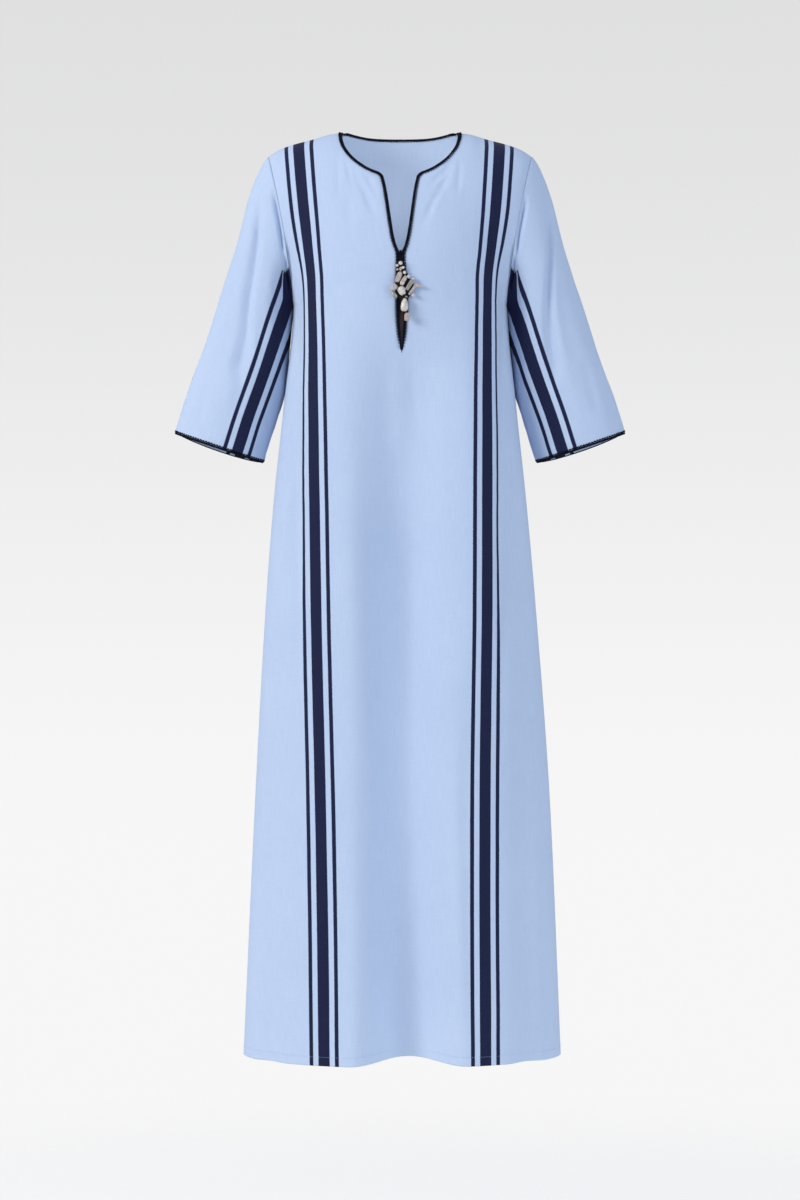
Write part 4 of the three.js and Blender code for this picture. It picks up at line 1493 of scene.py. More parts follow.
@dataclass
class Line:
    """A closed line on the cloth, with the way up from the cloth at each of its points."""

    points: Array
    up: Array
    size: Array | None = None  # how large the repeats are at each point
    way: Array | None = None  # the repeats' X at each point, where that isn't the way along

    @property
    def sizes(self) -> Array:
        """How large the repeats are at each point, 1 unless stated."""
        return np.ones(len(self.points)) if self.size is None else self.size

    @property
    def along(self) -> Array:
        """The way along the line at each point, unless another way is stated."""
        if self.way is not None:
            return self.way
        return unit(np.roll(self.points, -1, 0) - np.roll(self.points, 1, 0))

    @property
    def beside(self) -> Array:
        """The way across the line at each point, to the left of the way along it."""
        return unit(np.cross(self.up, self.along))

    def reversed(self) -> Line:
        """The same line walked the other way."""
        return Line(self.points[::-1], self.up[::-1], self.sizes[::-1])

    def even(self, pitch: float) -> Line:
        """The line with an even number of points, evenly apart.

        Args:
            pitch: About how far apart.

        Returns:
            The new line.
        """
        rows = np.column_stack([self.points, self.up, self.sizes])
        rows = np.vstack([rows, rows[:1]])
        steps = np.linalg.norm(np.diff(rows[:, :3], axis=0), axis=1)
        walked = np.concatenate([[0.0], np.cumsum(steps)])
        count = 2 * round(walked[-1] / pitch / 2)
        places = np.linspace(0, walked[-1], count, endpoint=False)
        found = np.column_stack([np.interp(places, walked, row) for row in rows.T])
        return Line(found[:, :3], unit(found[:, 3:6]), found[:, 6])


# ---------------------------------------------------------------- braids
@dataclass
class Braid:
    """A narrow plaited braid with a row of picot loops on its cloth side."""

    material: Material
    half_width: float = 2.1
    half_thick: float = 1.2
    plait_pitch: float = 2.15
    plait_length: float = 1.6
    plait_width: float = 0.72
    plait_inset: float = 1.0  # from the braid's edge to the middle of a row of the plait
    plait_height: float = 0.82  # share of half the braid's thickness
    plait_lean: float = 0.62
    picot_every: int = 2
    picot_radius: float = 1.15
    picot_wire: float = 0.68
    picot_reach: float = 2.15
    picot_rise: float = 1.1
    picot_open: float = 0.35  # how far past half a ring a picot goes at each end
    behind: bool = True  # a second row of picots on the inner side of the cloth's edge
    behind_reach: float = 1.0
    behind_rise: float = -1.5
    behind_scale: float = 0.85
    core_sides: int = 10
    core_pitch: float = 1.6
    core_inset: float = 0.35
    core_height: float = 0.62  # share of half the braid's thickness

    def tree(self) -> GeometryTree:
        """The tree that sets the plait and the picots along a line."""
        grown = GeometryTree("braid_plait")
        length = grown.named("Plait length", self.plait_length * MM)
        width = grown.named("Plait width", self.plait_width * MM)
        height = grown.named("Plait height", self.half_thick * self.plait_height * MM)
        row = grown.named("Row distance", (self.half_width - self.plait_inset) * MM)
        lean = grown.named("Plait lean", self.plait_lean)
        radius = grown.named("Picot radius", self.picot_radius * MM)
        wire = grown.named("Picot wire", self.picot_wire * MM)
        reach = grown.named("Picot reach", self.picot_reach * MM)
        rise = grown.named("Picot rise", self.picot_rise * MM)
        inner_reach = grown.named("Inner picot reach", self.behind_reach * MM)
        inner_rise = grown.named("Inner picot rise", self.behind_rise * MM)
        inner_scale = grown.named("Inner picot scale", self.behind_scale)
        lobe = grown.ball(8, 5)
        size = grown.vector(length, width, height)
        both = []
        for way in (1.0, -1.0):
            place = grown.vector(0.0, grown.maths("MULTIPLY", row, way), 0.0)
            turn = grown.vector(0.0, 0.0, grown.maths("MULTIPLY", lean, way))
            both.append(grown.moved(lobe, place, turn, size))
        sweep = {"Start Angle": -self.picot_open, "Sweep Angle": math.pi + 2 * self.picot_open}
        values = {"Resolution": 8, "Radius": radius, **sweep}
        arc = grown.node("GeometryNodeCurveArc", {"mode": "RADIUS"}, values)
        loop = grown.tube(arc, grown.circle(5, wire), caps=True)
        picot = grown.moved(loop, grown.vector(0.0, reach, rise))
        if self.behind:
            place = grown.vector(0.0, inner_reach, inner_rise)
            size = grown.vector(inner_scale, inner_scale, inner_scale)
            picot = grown.joined(picot, grown.moved(loop, place, scale=size))
        plait = grown.spread(grown.joined(*both), seed=11)
        picots = grown.spread(picot, seed=23, every=self.picot_every)
        grown.finish(grown.joined(plait, picots), self.material)
        return grown

    def core(self, line: Line) -> tuple[Array, list[tuple[int, ...]]]:
        """The flat band under the plait.

        Args:
            line: The braid's middle line.

        Returns:
            The band's points and faces.
        """
        turn = np.arange(self.core_sides) / self.core_sides * 2 * np.pi
        size = line.sizes[:, None, None]
        wide = np.cos(turn)[None, :, None] * (self.half_width - self.core_inset) * size
        thick = np.sin(turn)[None, :, None] * self.half_thick * self.core_height * size
        points = line.points[:, None] + wide * line.beside[:, None] + thick * line.up[:, None]
        return points.reshape(-1, 3), ring_faces(len(points), self.core_sides, closed=True)

    def build(self, name: str, line: Line) -> Piece:
        """Makes the braid.

        Args:
            name: The piece's name.
            line: Its middle line, with the cloth on its left-hand side.

        Returns:
            The finished piece.
        """
        made = self.tree().grow(name, line.even(self.plait_pitch))
        core = mesh_object(name + "_core", *self.core(line.even(self.core_pitch)))
        point_outwards(made, core, near=1e-7)
        made.data.materials.clear()
        made.data.materials.append(self.material)
        made.data.polygons.foreach_set("material_index", np.zeros(len(made.data.polygons), np.int32))
        made.data.polygons.foreach_set("use_smooth", np.ones(len(made.data.polygons), bool))
        return made


def neck_line(form: DressForm) -> Line:
    """The neck braid's centre line: up one side of the slit, round the neck and down the other.

    Args:
        form: The dress's form.

    Returns:
        The closed line, with the cloth on its left-hand side.
    """
    tip_z, tip_half = (np.array(rows, float) for rows in zip(*form.slit_tip))
    start = form.slit_rows[-1][0]
    slit_z = np.concatenate([tip_z[-2::-1], np.linspace(start, form.neck_front_rows[0][1], 90)])
    half = np.concatenate([tip_half[-2::-1], form.slit_half.at(slit_z[len(tip_z) - 1:])])
    middle = form.slit_middle.at(slit_z)
    front_x, front_z = form.neck[Face.FRONT].at(np.linspace(0, 1, 60)[1:-1])
    back_x, back_z = form.neck[Face.BACK].at(np.linspace(0, 1, 50)[-2::-1])

    def place(side: int) -> tuple[Array, Array]:
        """The points of one side, from the slit's end to the back's middle, and the way up."""
        x = np.concatenate([middle + side * half, side * front_x])
        z = np.concatenate([slit_z, front_z])
        points = [form.on_face(x, z, Face.FRONT), [(side * form.neck_side[0], 0, form.neck_side[1])]]
        up = [form.normal(x, z, Face.FRONT), [(0, 0, 1)]]
        points.append(form.on_face(side * back_x, back_z, Face.BACK))
        up.append(form.normal(side * back_x, back_z, Face.BACK))
        return np.vstack(points), np.vstack(up)

    end = form.slit_middle.at(tip_z[-1:]), tip_z[-1:], Face.FRONT
    left, left_up = place(-1)
    right, right_up = place(1)
    points = np.vstack([form.on_face(*end), left, right[-2::-1]])
    up = np.vstack([form.normal(*end), left_up, right_up[-2::-1]])
    low, high, least = form.tip_taper
    line = Line(points, up, size=mix(least, 1.0, smooth((points[:, 2] - low) / (high - low))))
    return line if line.beside[0] @ np.array([0, 0, -1.0]) > 0 else line.reversed()


def cuff_line(
    shape: SleeveForm, side: int, half_width: float = 2.3, gap: float = 0.1, back: float = 0.38
) -> Line:
    """A cuff braid's centre line, just under the sleeve's edge.

    Args:
        shape: The sleeve's form.
        side: -1 or 1.
        half_width: Half the braid's width.
        gap: How far the braid's edge is from the sleeve's.
        back: The braid's size at the back of the cuff, as a share.

    Returns:
        The closed line, with the cloth on its left-hand side.
    """
    angle = np.arange(240) / 240 * 2 * np.pi
    edge = shape.at(angle, np.ones_like(angle), side)
    down = unit(edge - shape.at(angle, np.full_like(angle, 0.97), side))
    turned = [shape.at(angle + s, np.ones_like(angle), side) for s in (0.05, -0.05)]
    up = unit(np.cross(turned[0] - turned[1], down)) * side
    size = mix(1.0, back, smooth(0.5 - np.sin(angle) / 0.5))
    line = Line(edge + down * (half_width * size + gap)[:, None], up, size=size)
    return line if (line.beside[0] @ -down[0]) > 0 else line.reversed()


# ---------------------------------------------------------------- slit, patch and hem
@dataclass
class SlitParts:
    """What closes and backs the slit: the tack's wound threads and the strip behind."""

    form: DressForm
    tack_half: float = 1.15
    tack_thick: float = 1.6
    tack_z: tuple[float, float] = (-192.2, -184.5)
    tack_pitch: float = 0.62
    tack_wire: float = 0.36
    strip_half: float = 10.5
    strip_wall: float = 0.84
    strip_z: tuple[float, float] = (-338.0, -186.0)
    strip_gap: float = 0.7
    braid_thick: float = 1.2
    wall: float = 1.5

    def tack(self, name: str, material: Material) -> Piece:
        """Threads wound round the two braids where the slit is caught together.

        Args:
            name: The piece's name.
            material: Its material.

        Returns:
            The finished piece.
        """
        z = np.arange(*self.tack_z, self.tack_pitch)
        x = self.form.slit_middle.at(z)
        points = self.form.on_face(x, z, Face.FRONT)
        up = np.tile((0.0, 0.0, 1.0), (len(z), 1))
        wound = GeometryTree("wound_threads")
        wide = wound.named("Half width", (self.tack_half + 0.1) * MM)
        thick = wound.named("Half thickness", self.tack_thick / 2 * MM)
        wire = wound.named("Thread radius", self.tack_wire * MM)
        oval = wound.moved(wound.circle(20, 1.0), scale=wound.vector(wide, thick, 1.0))
        turn = wound.tube(oval, wound.circle(6, wire))
        wound.finish(wound.spread(turn, seed=5, uneven=0.05), material)
        made = wound.grow(name, Line(points, up, way=np.tile((1.0, 0.0, 0.0), (len(z), 1))))
        point_outwards(made)
        return made

    def strip(self, name: str, material: Material) -> Piece:
        """The strip of cloth behind the slit.

        Args:
            name: The piece's name.
            material: Its material.

        Returns:
            The finished piece.
        """
        low, high = self.strip_z
        z, s = np.meshgrid(np.linspace(high, low, 76), np.linspace(-1, 1, 15), indexing="ij")
        middle = self.form.slit_middle.at(z)
        x = middle + s * self.strip_half
        y = self.form.depth(middle, z, Face.FRONT) + self.wall + self.braid_thick + self.strip_gap
        y = y + 0.25 * mottle(x, z, 9, 24, 41.0) + 0.12
        cloth = ClothMesh()
        points = stack(x, y, z)
        walls = np.full(x.shape, self.strip_wall)
        cloth.add_grid(points, stack(x, z, 99.0), walls, np.zeros_like(points), False)
        return cloth.solid(name, material)


@dataclass
class HemStitches:
    """The row of small stitches that holds up the turned hem."""

    form: DressForm
    panels: dict[Face, Panel]
    pitch: float = 3.4
    half_length: float = 1.05
    half_width: float = 0.24
    proud: float = 0.12  # how far the thread's middle is off the cloth
    raised: float = 0.93  # share of the hem's rise that this line has

    def line(self) -> Line:
        """The stitch line, round the front and the back."""
        points, up = [], []
        level = self.form.hem_z + self.panels[Face.FRONT].hem_deep
        for face, sweep in ((Face.FRONT, 1), (Face.BACK, -1)):
            share = np.sin(np.linspace(-1, 1, 420)[1:-1] * np.pi / 2) * sweep
            z = np.full_like(share, level)
            x = share * self.form.edge_x(z, side_of(share))
            if face is Face.FRONT:
                z = z + self.form.hem_raised(x) * self.raised
            normal = self.form.normal(x, z, face)
            relief = self.panels[face].relief(x, z)[:, None]
            points.append(self.form.on_face(x, z, face) + normal * (self.proud - relief))
            up.append(normal)
        return Line(np.vstack(points), np.vstack(up))

    def build(self, name: str, material: Material) -> Piece:
        """The stitches as one piece.

        Args:
            name: The piece's name.
            material: Its material.

        Returns:
            The finished piece.
        """
        sewn = GeometryTree("hem_stitches")
        length = sewn.named("Half length", self.half_length * MM)
        width = sewn.named("Half width", self.half_width * MM)
        dash = sewn.moved(sewn.ball(6, 5), scale=sewn.vector(length, width, width))
        sewn.finish(sewn.spread(dash, seed=3, uneven=0.12), material)
        return sewn.grow(name, self.line().even(self.pitch))


# ---------------------------------------------------------------- ornament
class BeadForm(Enum):
    """Shapes of bead: bluntness along and across, taper, flat sides and unevenness."""

    ROUND = (1.0, 1.0, 0.0, 0.0, 0.05)
    PEBBLE = (0.85, 0.92, 0.1, 0.12, 0.11)
    LONG = (0.72, 0.88, -0.08, 0.14, 0.08)
    BAR = (0.42, 0.7, 0.04, 0.18, 0.06)
    SPIKE = (1.1, 0.9, -0.62, 0.1, 0.08)
    LEAF = (1.35, 1.1, 0.16, 0.3, 0.06)
    TEAR = (0.92, 1.0, -0.26, 0.0, 0.04)
    DISC = (0.84, 0.8, 0.06, 0.12, 0.06)


@dataclass(frozen=True)
class Bead:
    """One bead, seen from the front: place, half sizes, and tilt up from the X axis."""

    name: str
    x: float
    z: float
    along: float
    across: float
    tilt: float
    form: BeadForm
    finish: str


@dataclass
class Ornament:
    """The bead cluster at the slit, sewn to its small backing."""

    form: DressForm
    finishes: dict[str, Material]
    backing_thick: float = 1.2
    seat: float = 0.3
    depth_share: float = 0.62
    depth_more: float = 0.8
    bead_gap: float = 0.4
    braid_thick: float = 1.2
    corner_round: float = 2.2
    edge_round: float = 0.4
    rings: int = 26
    sides: int = 34
    outline: Rows = (
        (-2.6, -202), (3.2, -202), (13.6, -224.5), (20.6, -237), (15.5, -250), (11.6, -256),
        (12.4, -284), (8, -284), (3.4, -262), (-4.6, -251.6), (-8, -242),
    )
    beads: tuple[Bead, ...] = (
        Bead("bead_top", 0.9, -204.4, 3.0, 2.9, 0, BeadForm.ROUND, "pearl"),
        Bead("bead_top_left", -4.1, -207.8, 2.2, 2.0, 0, BeadForm.ROUND, "pearl"),
        Bead("bead_top_right", 4.3, -211.0, 2.4, 2.2, 40, BeadForm.ROUND, "pearl"),
        Bead("bead_second_left", -3.7, -213.6, 1.9, 1.8, 0, BeadForm.ROUND, "grey"),
        Bead("bead_gold", 0.9, -212.8, 3.4, 1.7, 85, BeadForm.LONG, "gold"),
        Bead("bead_chain_upper", 6.7, -218.2, 2.8, 2.5, -40, BeadForm.ROUND, "pearl"),
        Bead("bead_chain_middle", 12.9, -224.2, 3.3, 2.8, -35, BeadForm.ROUND, "clear"),
        Bead("stone_left", -1.8, -224.8, 8.4, 3.9, 66, BeadForm.LONG, "shell"),
        Bead("stone_centre", 5.1, -230.0, 8.0, 3.5, 62, BeadForm.LONG, "shell"),
        Bead("bar_long", 14.4, -235.8, 9.6, 3.3, 58, BeadForm.BAR, "smoke"),
        Bead("bar_head", 18.6, -228.6, 2.9, 2.6, 40, BeadForm.ROUND, "pearl"),
        Bead("bar_thin", 18.4, -242.6, 9.8, 2.0, 54, BeadForm.BAR, "shell"),
        Bead("pearl_left", -9.0, -240.0, 5.9, 4.7, 38, BeadForm.PEBBLE, "blush"),
        Bead("stone_round", 2.2, -244.8, 6.9, 6.1, -60, BeadForm.PEBBLE, "pearl"),
        Bead("leaf_left", -8.2, -250.8, 6.4, 3.4, -56, BeadForm.LEAF, "green"),
        Bead("spike_right", 28.6, -238.0, 5.6, 3.2, -10, BeadForm.SPIKE, "blush"),
        Bead("bead_lower_right", 19.6, -251.6, 3.2, 3.0, 0, BeadForm.ROUND, "clear"),
        Bead("bead_small_low", 8.9, -253.2, 2.2, 1.7, -25, BeadForm.ROUND, "gold"),
        Bead("drop_pearl", 6.6, -265.4, 10, 5.5, 88, BeadForm.TEAR, "pearl"),
        Bead("drop_disc", 10.4, -283.0, 6.4, 4.6, 84, BeadForm.DISC, "disc"),
    )

    def __post_init__(self) -> None:
        """Finds the plane that the beads are seated on."""
        x, z = (np.array(v, float) for v in zip(*self.outline))
        deepest = float(self.form.depth(x, z, Face.FRONT).min())
        self.plane_y = deepest - self.braid_thick - self.bead_gap

    def bead_points(self, row: Bead, seed: int) -> Array:
        """Rings of points of one bead, with drilled ends.

        Args:
            row: The bead.
            seed: Sets its unevenness apart from the others'.

        Returns:
            The rings, filling -1 to 1 along, through and across the bead.
        """
        blunt_along, blunt_across, taper, flat, uneven = row.form.value
        t = np.linspace(0, np.pi, self.rings + 1)[:, None]
        turn = np.arange(self.sides)[None] / self.sides * 2 * np.pi
        axis = np.sign(np.cos(t)) * np.abs(np.cos(t)) ** blunt_along
        girth = np.sin(t) ** blunt_along * (1 + taper * axis)
        u = np.sign(np.cos(turn)) * np.abs(np.cos(turn)) ** blunt_across
        v = np.sign(np.sin(turn)) * np.abs(np.sin(turn)) ** blunt_across
        bore = 1 - 0.22 * np.exp(-((np.sin(t) / 0.16) ** 2))
        local = stack(axis * bore + 0 * turn, girth * v, girth * u)
        shift = Vector((seed * 3.7, 0, 0))
        dents = [noise.noise(Vector(p) * 1.5 + shift) for p in local.reshape(-1, 3)]
        dents = np.array(dents).reshape(local.shape[:2])
        local = local * (1 + uneven * 1.7 * dents)[..., None]
        local[..., 1] = np.clip(local[..., 1], -1 + flat, 1)
        return local / np.maximum(np.abs(local).max(axis=(0, 1)), 1.0)

    def bead(self, row: Bead, seed: int) -> Piece:
        """One bead, seated on the plane of the backing.

        Args:
            row: The bead.
            seed: Sets its unevenness apart from the others'.

        Returns:
            The finished piece.
        """
        deep = row.across * self.depth_share + self.depth_more
        local = self.bead_points(row, seed) * (row.along, deep, row.across)
        tilt = math.radians(row.tilt)
        x = local[..., 0] * math.cos(tilt) - local[..., 2] * math.sin(tilt)
        z = local[..., 0] * math.sin(tilt) + local[..., 2] * math.cos(tilt)
        y = local[..., 1] + self.plane_y - self.backing_thick - self.seat - deep
        points = stack(x + row.x, y, z + row.z).reshape(-1, 3)
        faces = ring_faces(self.rings + 1, self.sides, closed=False)
        made = mesh_object(row.name + "_bead", points, faces)
        point_outwards(made)
        made.data.materials.append(self.finishes[row.finish])
        return made

    def backing(self, name: str, material: Material) -> Piece:
        """The patch under the beads, with soft rounded edges.

        Args:
            name: The piece's name.
            material: Its material.

        Returns:
            The finished piece.
        """
        work = bmesh.new()
        front = self.plane_y - self.backing_thick
        corners = [work.verts.new(Vector((x, front, z)) * MM) for x, z in self.outline]
        face = work.faces.new(corners)
        grown = bmesh.ops.extrude_face_region(work, geom=[face])
        moved = [v for v in grown["geom"] if isinstance(v, bmesh.types.BMVert)]
        bmesh.ops.translate(work, verts=moved, vec=(0, self.backing_thick * MM, 0))
        bmesh.ops.recalc_face_normals(work, faces=work.faces)
        upright = [e for e in work.edges if abs(e.verts[0].co.y - e.verts[1].co.y) > 1e-6]
        corner, edge = self.corner_round * MM, self.edge_round * MM
        bmesh.ops.bevel(work, geom=upright, offset=corner, segments=4, affect="EDGES", profile=0.5)
        flat = [e for e in work.edges if abs(e.verts[0].co.y - e.verts[1].co.y) < 1e-6]
        rim = [e for e in flat if len({abs(f.normal.y) > 0.9 for f in e.link_faces}) == 2]
        bmesh.ops.bevel(work, geom=rim, offset=edge, segments=3, affect="EDGES", profile=0.5)
        mesh = bpy.data.meshes.new(name)
        work.to_mesh(mesh)
        work.free()
        mesh.materials.append(material)
        return new_object(name, mesh)


# ---------------------------------------------------------------- studio
@dataclass
class Studio:
    """A pale floor, soft lights and the camera."""

    camera_y: float = -4.0
    camera_z: float = -0.6945
    lens: float = 80.0
    sensor: float = 36.0
    floor_z: float = -1.9
    floor_half: float = 14.0
    sky_top: Colour = (0.745, 0.745, 0.747)
    sky_low: Colour = (0.925, 0.925, 0.925)
    sky_light: Colour = (0.38, 0.408, 0.49)
    sky_rise: tuple[float, float] = (-0.1, 0.24)  # over which the low colour turns into the top one
    floor_paint: tuple[Colour, Colour] = ((0.87, 0.845, 0.8), (0.89, 0.865, 0.82))
    floor_glow: float = 0.34
    floor_fade: tuple[float, float] = (0.9, 2.6)  # distances between which the floor dies out
    # name, place, size, power, aim, colour; the last stands for the light that thin cloth lets in
    lights: tuple[tuple[str, Colour, float, float, Colour, Colour], ...] = (
        ("key", (-3.6, -2.5, 0.9), 2.0, 140.0, (0.0, 0.0, -0.7), (1.0, 0.965, 0.915)),
        ("fill", (3.2, -2.4, -0.5), 2.6, 58.0, (0.0, 0.0, -0.7), (0.93, 0.98, 1.0)),
        ("top", (-0.6, -0.6, 2.4), 2.0, 16.0, (0.0, 0.0, -0.4), (1.0, 1.0, 1.0)),
        ("glow", (0.0, -0.035, -0.12), 0.1, 0.135, (0.0, 0.1, -0.02), (1.0, 1.0, 1.0)),
    )

    def camera(self) -> None:
        """Makes the camera and gives it to the scene."""
        data = bpy.data.cameras.new("camera")
        data.lens, data.sensor_width, data.sensor_fit = self.lens, self.sensor, "AUTO"
        data.clip_end = 60.0
        made = new_object("camera", data)
        made.location = (0.0, self.camera_y, self.camera_z)
        made.rotation_euler = (math.pi / 2, 0.0, 0.0)
        bpy.context.scene.camera = made

    def light(self) -> None:
        """Makes the soft lights."""
        for name, place, size, power, aim, colour in self.lights:
            data = bpy.data.lights.new(name, "AREA")
            data.color = colour
            data.shape, data.size, data.energy = "DISK", size, power
            made = new_object(name, data)
            made.location = place
            made.visible_camera = False
            way = Vector(aim) - Vector(place)
            made.rotation_euler = way.to_track_quat("-Z", "Y").to_euler()

    def world(self) -> None:
        """Makes the pale surroundings, a little darker above, and the light that comes from them."""
        world = bpy.data.worlds.new("studio")
        shader = Shader(world)
        rise = shader.parts(shader.place("Generated"))[2].step(*self.sky_rise)
        sky = shader.blend(rise, self.sky_low, self.sky_top)
        seen = shader.node("ShaderNodeLightPath", output="Is Camera Ray")
        colour = shader.blend(seen, self.sky_light, sky)
        shine = shader.node("ShaderNodeBackground", None, {"Color": colour})
        shader.make("ShaderNodeOutputWorld", None, {"Surface": shine})
        bpy.context.scene.world = world
        bpy.context.scene.view_settings.view_transform = "Standard"

    def floor(self) -> None:
        """Makes the pale floor, which fades into the surroundings far from the dress."""
        turn = np.arange(64) / 64 * 2 * np.pi
        rim = stack(np.cos(turn), np.sin(turn), 0) * self.floor_half / MM
        rim[:, 2] = self.floor_z / MM
        made = mesh_object("floor", rim, [tuple(range(64))])
        shader = new_shader("floor_pale")
        place = shader.place()
        x, y, _ = shader.parts(place)
        away = ((x * x + y * y) ** 0.5).step(*self.floor_fade)
        values = {
            "Base Color": shader.blend(shader.noise(place, 9.0), *self.floor_paint),
            "Roughness": 0.9,
            "Emission Color": (0.9, 0.9, 0.9, 1.0),
            "Emission Strength": self.floor_glow,
        }
        paint = shader.node("ShaderNodeBsdfPrincipled", None, values)
        clear = shader.node("ShaderNodeBsdfTransparent")
        both = shader.node("ShaderNodeMixShader", None, {0: away, 1: paint, 2: clear})
        shader.make("ShaderNodeOutputMaterial", None, {"Surface": both})
        made.data.materials.append(shader.owner)

    def build(self) -> None:
        """Makes the whole studio."""
        self.camera()
        self.light()
        self.world()
        self.floor()


# ---------------------------------------------------------------- the dress
FRONT_CREASES = (
    Crease(((-79, -46), (-76, -64), (-68, -92)), 6.0, 1.7),
    Crease(((-72, -48), (-64, -74), (-53, -96), (-44, -116), (-30, -148)), 9.0, 2.7),
    Crease(((-52, -62), (-44, -82), (-32, -108)), 6.5, 1.5),
    Crease(((-64, -62), (-56, -98), (-46, -132)), 8.0, -1.1),
    Crease(((-90, -30), (-92, -70), (-88, -120)), 8.0, 1.2),
    Crease(((82, -40), (70, -58), (52, -78), (34, -90)), 7.5, 1.9),
    Crease(((80, -42), (72, -66), (62, -88), (50, -112), (38, -136), (24, -162)), 8.5, 2.5),
    Crease(((90, -38), (87, -66), (84, -104)), 7.0, 1.3),
    Crease(((60, -84), (54, -112), (46, -140)), 7.5, -1),
    Crease(((-78, -84), (-74, -130), (-70, -190)), 12.0, 1.28),
    Crease(((-1, -322), (0, -390), (6, -520)), 28.0, -2.6),
    Crease(((-7, -336), (-8, -380), (-9, -430)), 8.0, -0.7),
    Crease(((17, -326), (19, -380), (22, -450)), 9.0, 1.0),
    Crease(((50, -250), (58, -420), (60, -700), (64, -1000)), 24.0, -2.4),
    Crease(((149, -435), (166, -520), (182, -610)), 10.0, 2.56),
    Crease(((146, -330), (160, -380), (170, -450)), 8.0, 1.44),
    Crease(((-150, -330), (-164, -400), (-176, -480)), 8.0, 1.44),
    Crease(((-158, -470), (-176, -560), (-190, -660)), 10.0, 1.92),
    Crease(((-160, -198), (-149, -206)), 7.0, 0.96),
    Crease(((-157, -236), (-146, -242)), 7.0, 1.04),
    Crease(((160, -210), (149, -219)), 7.0, 0.88),
    Crease(((157, -246), (146, -254)), 7.0, 0.96),
    Crease(((-40, -560), (-34, -760), (-28, -980)), 20.0, 2.08),
    Crease(((-86, -900), (-96, -1100), (-104, -1373)), 16.0, 1.76, 0.3),
    Crease(((92, -880), (98, -1120), (108, -1373)), 18.0, 1.92, 0.3),
)
BACK_CREASES = (
    Crease(((-60, -20), (-52, -60), (-46, -120)), 10.0, 1.6),
    Crease(((58, -18), (54, -70), (44, -130)), 10.0, 1.8),
    Crease(((-4, -40), (-8, -120), (-14, -220)), 16.0, 2.0),
    Crease(((20, -150), (26, -280), (22, -430)), 18.0, -2.6),
    Crease(((-30, -200), (-34, -360), (-26, -560)), 20.0, 2.4),
    Crease(((120, -180), (104, -220), (84, -250)), 9.0, 2.2),
    Crease(((-122, -190), (-104, -226), (-88, -252)), 9.0, 2.0),
    Crease(((150, -300), (140, -360), (128, -430)), 10.0, 2.2),
    Crease(((-150, -310), (-138, -370), (-124, -450)), 10.0, 2.2),
    Crease(((0, -620), (6, -860), (10, -1100)), 24.0, -3.2),
    Crease(((120, -760), (128, -980), (134, -1240)), 18.0, 2.6),
    Crease(((-130, -700), (-140, -960), (-150, -1260)), 18.0, 2.6),
)
# Angle round the sleeve times 1.1, and distance down it.
LEFT_SLEEVE_CREASES = (
    Crease(((116, 10), (134, 12), (160, 15)), 12.0, 4.4, 0.3),
    Crease(((280, 10), (262, 12), (236, 15)), 12.0, 4.4, 0.3),
    Crease(((50, 30), (57, 53), (67, 90), (73, 133), (78, 179), (89, 239), (92, 330)), 19.0, 9.0, 0.2),
    Crease(((60, 7), (80, 8), (94, 10), (105, 12), (120, 22)), 14.0, 7.0, 0.3),
    Crease(((120, 6), (132, 34), (146, 70)), 9.0, 2.08),
    Crease(((96, 240), (104, 320), (110, 400)), 14.0, 1.44),
    Crease(((46, 300), (58, 360), (64, 430)), 14.0, 1.28),
    Crease(((300, 40), (310, 130), (318, 230)), 18.0, 2.88, 0.3),
    Crease(((262, 14), (250, 50), (238, 90)), 10.0, 2.08),
    Crease(((282, 260), (290, 330), (292, 410)), 14.0, 1.44),
)
RIGHT_SLEEVE_CREASES = (
    Crease(((116, 10), (134, 12), (160, 15)), 12.0, 4.4, 0.3),
    Crease(((280, 10), (262, 12), (236, 15)), 12.0, 4.4, 0.3),
    Crease(((30, 50), (44, 88), (60, 120), (76, 150), (90, 190), (95, 231), (106, 320)), 18.0, 7.5, 0.2),
    Crease(((66, 9), (86, 10), (107, 13), (120, 24)), 13.0, 6.0, 0.3),
    Crease(((118, 8), (130, 36), (144, 74)), 9.0, 1.56),
    Crease(((100, 250), (100, 330), (108, 420)), 15.0, 0.96),
    Crease(((52, 290), (60, 350), (70, 430)), 14.0, 1.02),
    Crease(((304, 36), (316, 120), (320, 220)), 18.0, 2.16, 0.3),
    Crease(((264, 12), (252, 48), (240, 92)), 10.0, 1.56),
    Crease(((286, 250), (294, 330), (298, 420)), 14.0, 1.02),
)


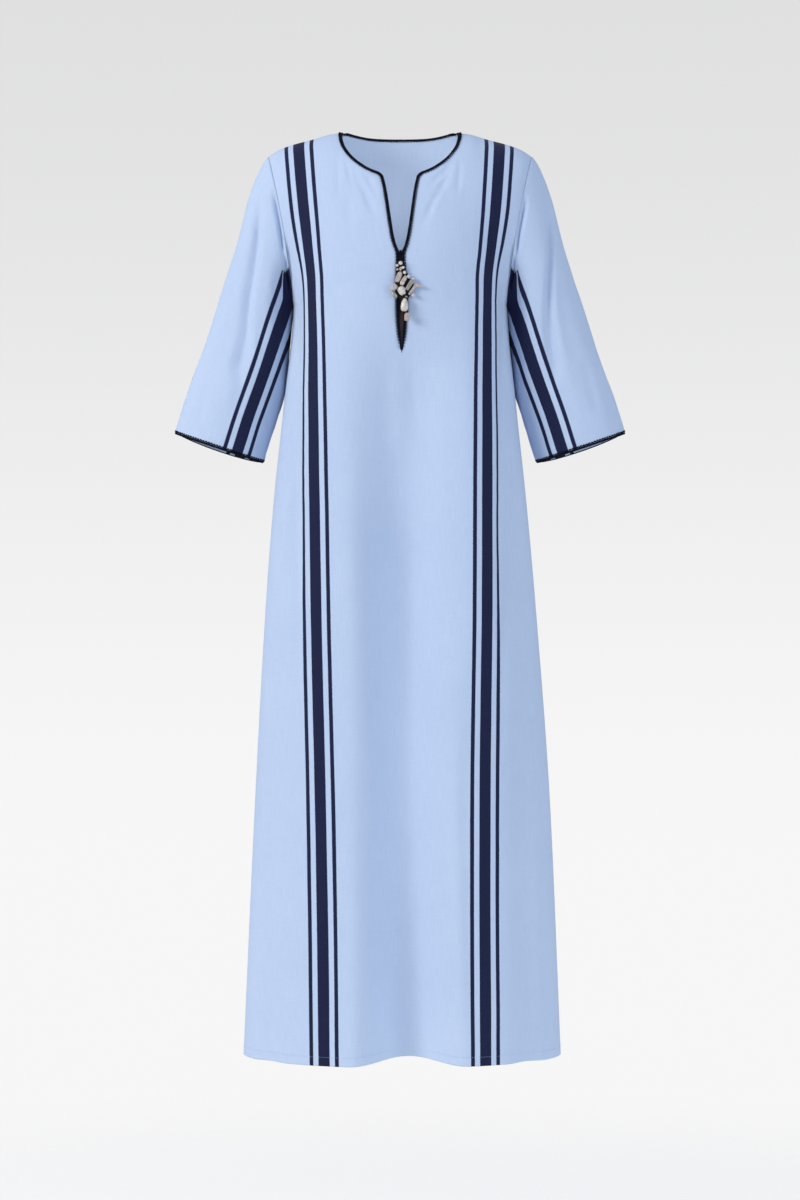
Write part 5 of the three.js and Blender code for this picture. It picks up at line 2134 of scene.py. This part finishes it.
@dataclass
class Dress:
    """The whole dress, piece by piece."""

    form: DressForm = field(default_factory=DressForm)

    def __post_init__(self) -> None:
        """Makes the sleeves' form, the panels and the finishes."""
        self.sleeve_form = SleeveForm(self.form)
        self.panels = {
            Face.FRONT: Panel(self.form, Face.FRONT, FRONT_CREASES),
            Face.BACK: Panel(self.form, Face.BACK, BACK_CREASES),
        }
        self.cloth = ClothFinish().build()
        self.braid = ThreadFinish(
            "braid_black", (0.0015, 0.0025, 0.008), (0.004, 0.006, 0.016), sheen=0.0, specular=0.09
        ).build()
        # partly painted shade: the backing's own dark colour is deepened to near black, for the shade in
        # the gaps between the beads
        self.patch = ThreadFinish(
            "patch_near_black_and_painted_shade", (0.008, 0.005, 0.005), (0.022, 0.014, 0.014), sheen=0.0
        ).build()
        # painted light and shade: the slit's strip is lighter lower down, where light reaches into the
        # slit, and darker above, where the slit is in shade
        self.strip = ThreadFinish(
            "strip_brown_painted_light_below",
            (0.04, 0.018, 0.016),
            (0.1, 0.052, 0.046),
            sheen=0.05,
            painted_low_light=(0.12, 0.085, 0.105),
            low_z=(-0.318, -0.262),
        ).build()
        self.thread = ThreadFinish("thread_blue", (0.30, 0.44, 0.72), (0.38, 0.54, 0.82)).build()

    def build(self) -> None:
        """Builds every piece and fixes it to the frame."""
        front = settle(self.panels[Face.FRONT].build("front_cloth", self.cloth), "cloth", "front_panel")
        back = settle(self.panels[Face.BACK].build("back_cloth", self.cloth), "cloth", "back_panel")
        left = self.sleeve("left", -1, LEFT_SLEEVE_CREASES)
        right = self.sleeve("right", 1, RIGHT_SLEEVE_CREASES)
        neck = Braid(self.braid).build("neck_braid_plait", neck_line(self.form))
        settle(neck, "braid", "neck_braid")
        left_cuff, right_cuff = self.cuff("left", -1), self.cuff("right", 1)

        parts = SlitParts(self.form)
        tack = settle(parts.tack("slit_tack_threads", self.braid), "braid", "slit_tack")
        strip = settle(parts.strip("slit_underlay_cloth", self.strip), "underlay", "slit_underlay")
        hem = HemStitches(self.form, self.panels).build("hem_stitching", self.thread)
        settle(hem, "cloth")
        pad = self.ornament()

    def sleeve(self, name: str, side: int, creases: tuple[Crease, ...]) -> Piece:
        """The left or the right sleeve."""
        made = Sleeve(self.sleeve_form, side, creases).build(f"sleeve_{name}_cloth", self.cloth)
        return settle(made, "cloth", f"sleeve_{name}")

    def cuff(self, name: str, side: int) -> Piece:
        """The left or the right cuff's braid, wider than the neck's and with short picots."""
        wide = Braid(self.braid, half_width=2.4, picot_wire=0.95, picot_reach=1.55, behind=False)
        made = wide.build(f"cuff_braid_{name}_plait", cuff_line(self.sleeve_form, side))
        return settle(made, "braid", f"cuff_braid_{name}")

    def ornament(self) -> Piece:
        """Makes the backing and the beads, and gives the backing."""
        ornament = Ornament(self.form, self.bead_finishes())
        # the backing's near-black colour is partly painted shade between the beads
        pad = ornament.backing("ornament_backing_patch", self.patch)
        settle(pad, "underlay", "ornament_backing")
        for seed, row in enumerate(ornament.beads):
            slot = "gold" if row.name == "bead_gold" else "beads"
            nodes = [] if row.name == "bar_head" else [row.name]
            settle(ornament.bead(row, seed), slot, *nodes)
        return pad

    @staticmethod
    def bead_finishes() -> dict[str, Material]:
        """The beads' materials by name."""
        rows = (
            BeadFinish("bead_pearl", (0.7, 0.675, 0.62), (0.38, 0.36, 0.33)),
            BeadFinish("bead_shell", (0.6, 0.53, 0.48), (0.3, 0.26, 0.24)),
            BeadFinish("bead_grey", (0.46, 0.44, 0.42), (0.28, 0.27, 0.26)),
            BeadFinish("bead_clear", (0.5, 0.54, 0.6), (0.36, 0.39, 0.45), roughness=0.16, coat=0.6),
            BeadFinish("bead_smoke", (0.34, 0.31, 0.3), (0.2, 0.18, 0.175), roughness=0.34, veins=420.0),
            BeadFinish("bead_blush", (0.5, 0.46, 0.46), (0.33, 0.3, 0.31)),
            BeadFinish("bead_disc", (0.46, 0.38, 0.36), (0.33, 0.28, 0.28), roughness=0.34),
            BeadFinish("bead_green", (0.5, 0.5, 0.47), (0.13, 0.15, 0.11), veins=160.0),
            BeadFinish("bead_gold", (0.5, 0.42, 0.3), (0.3, 0.22, 0.13), 0.3, 0.6, 0.2),
        )
        return {row.name.removeprefix("bead_"): row.build() for row in rows}


def main() -> None:
    """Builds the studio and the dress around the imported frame."""
    logging.basicConfig(level=logging.INFO, format="%(name)s %(message)s")
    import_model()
    Studio().build()
    Dress().build()


if __name__ == "__main__":
    main()
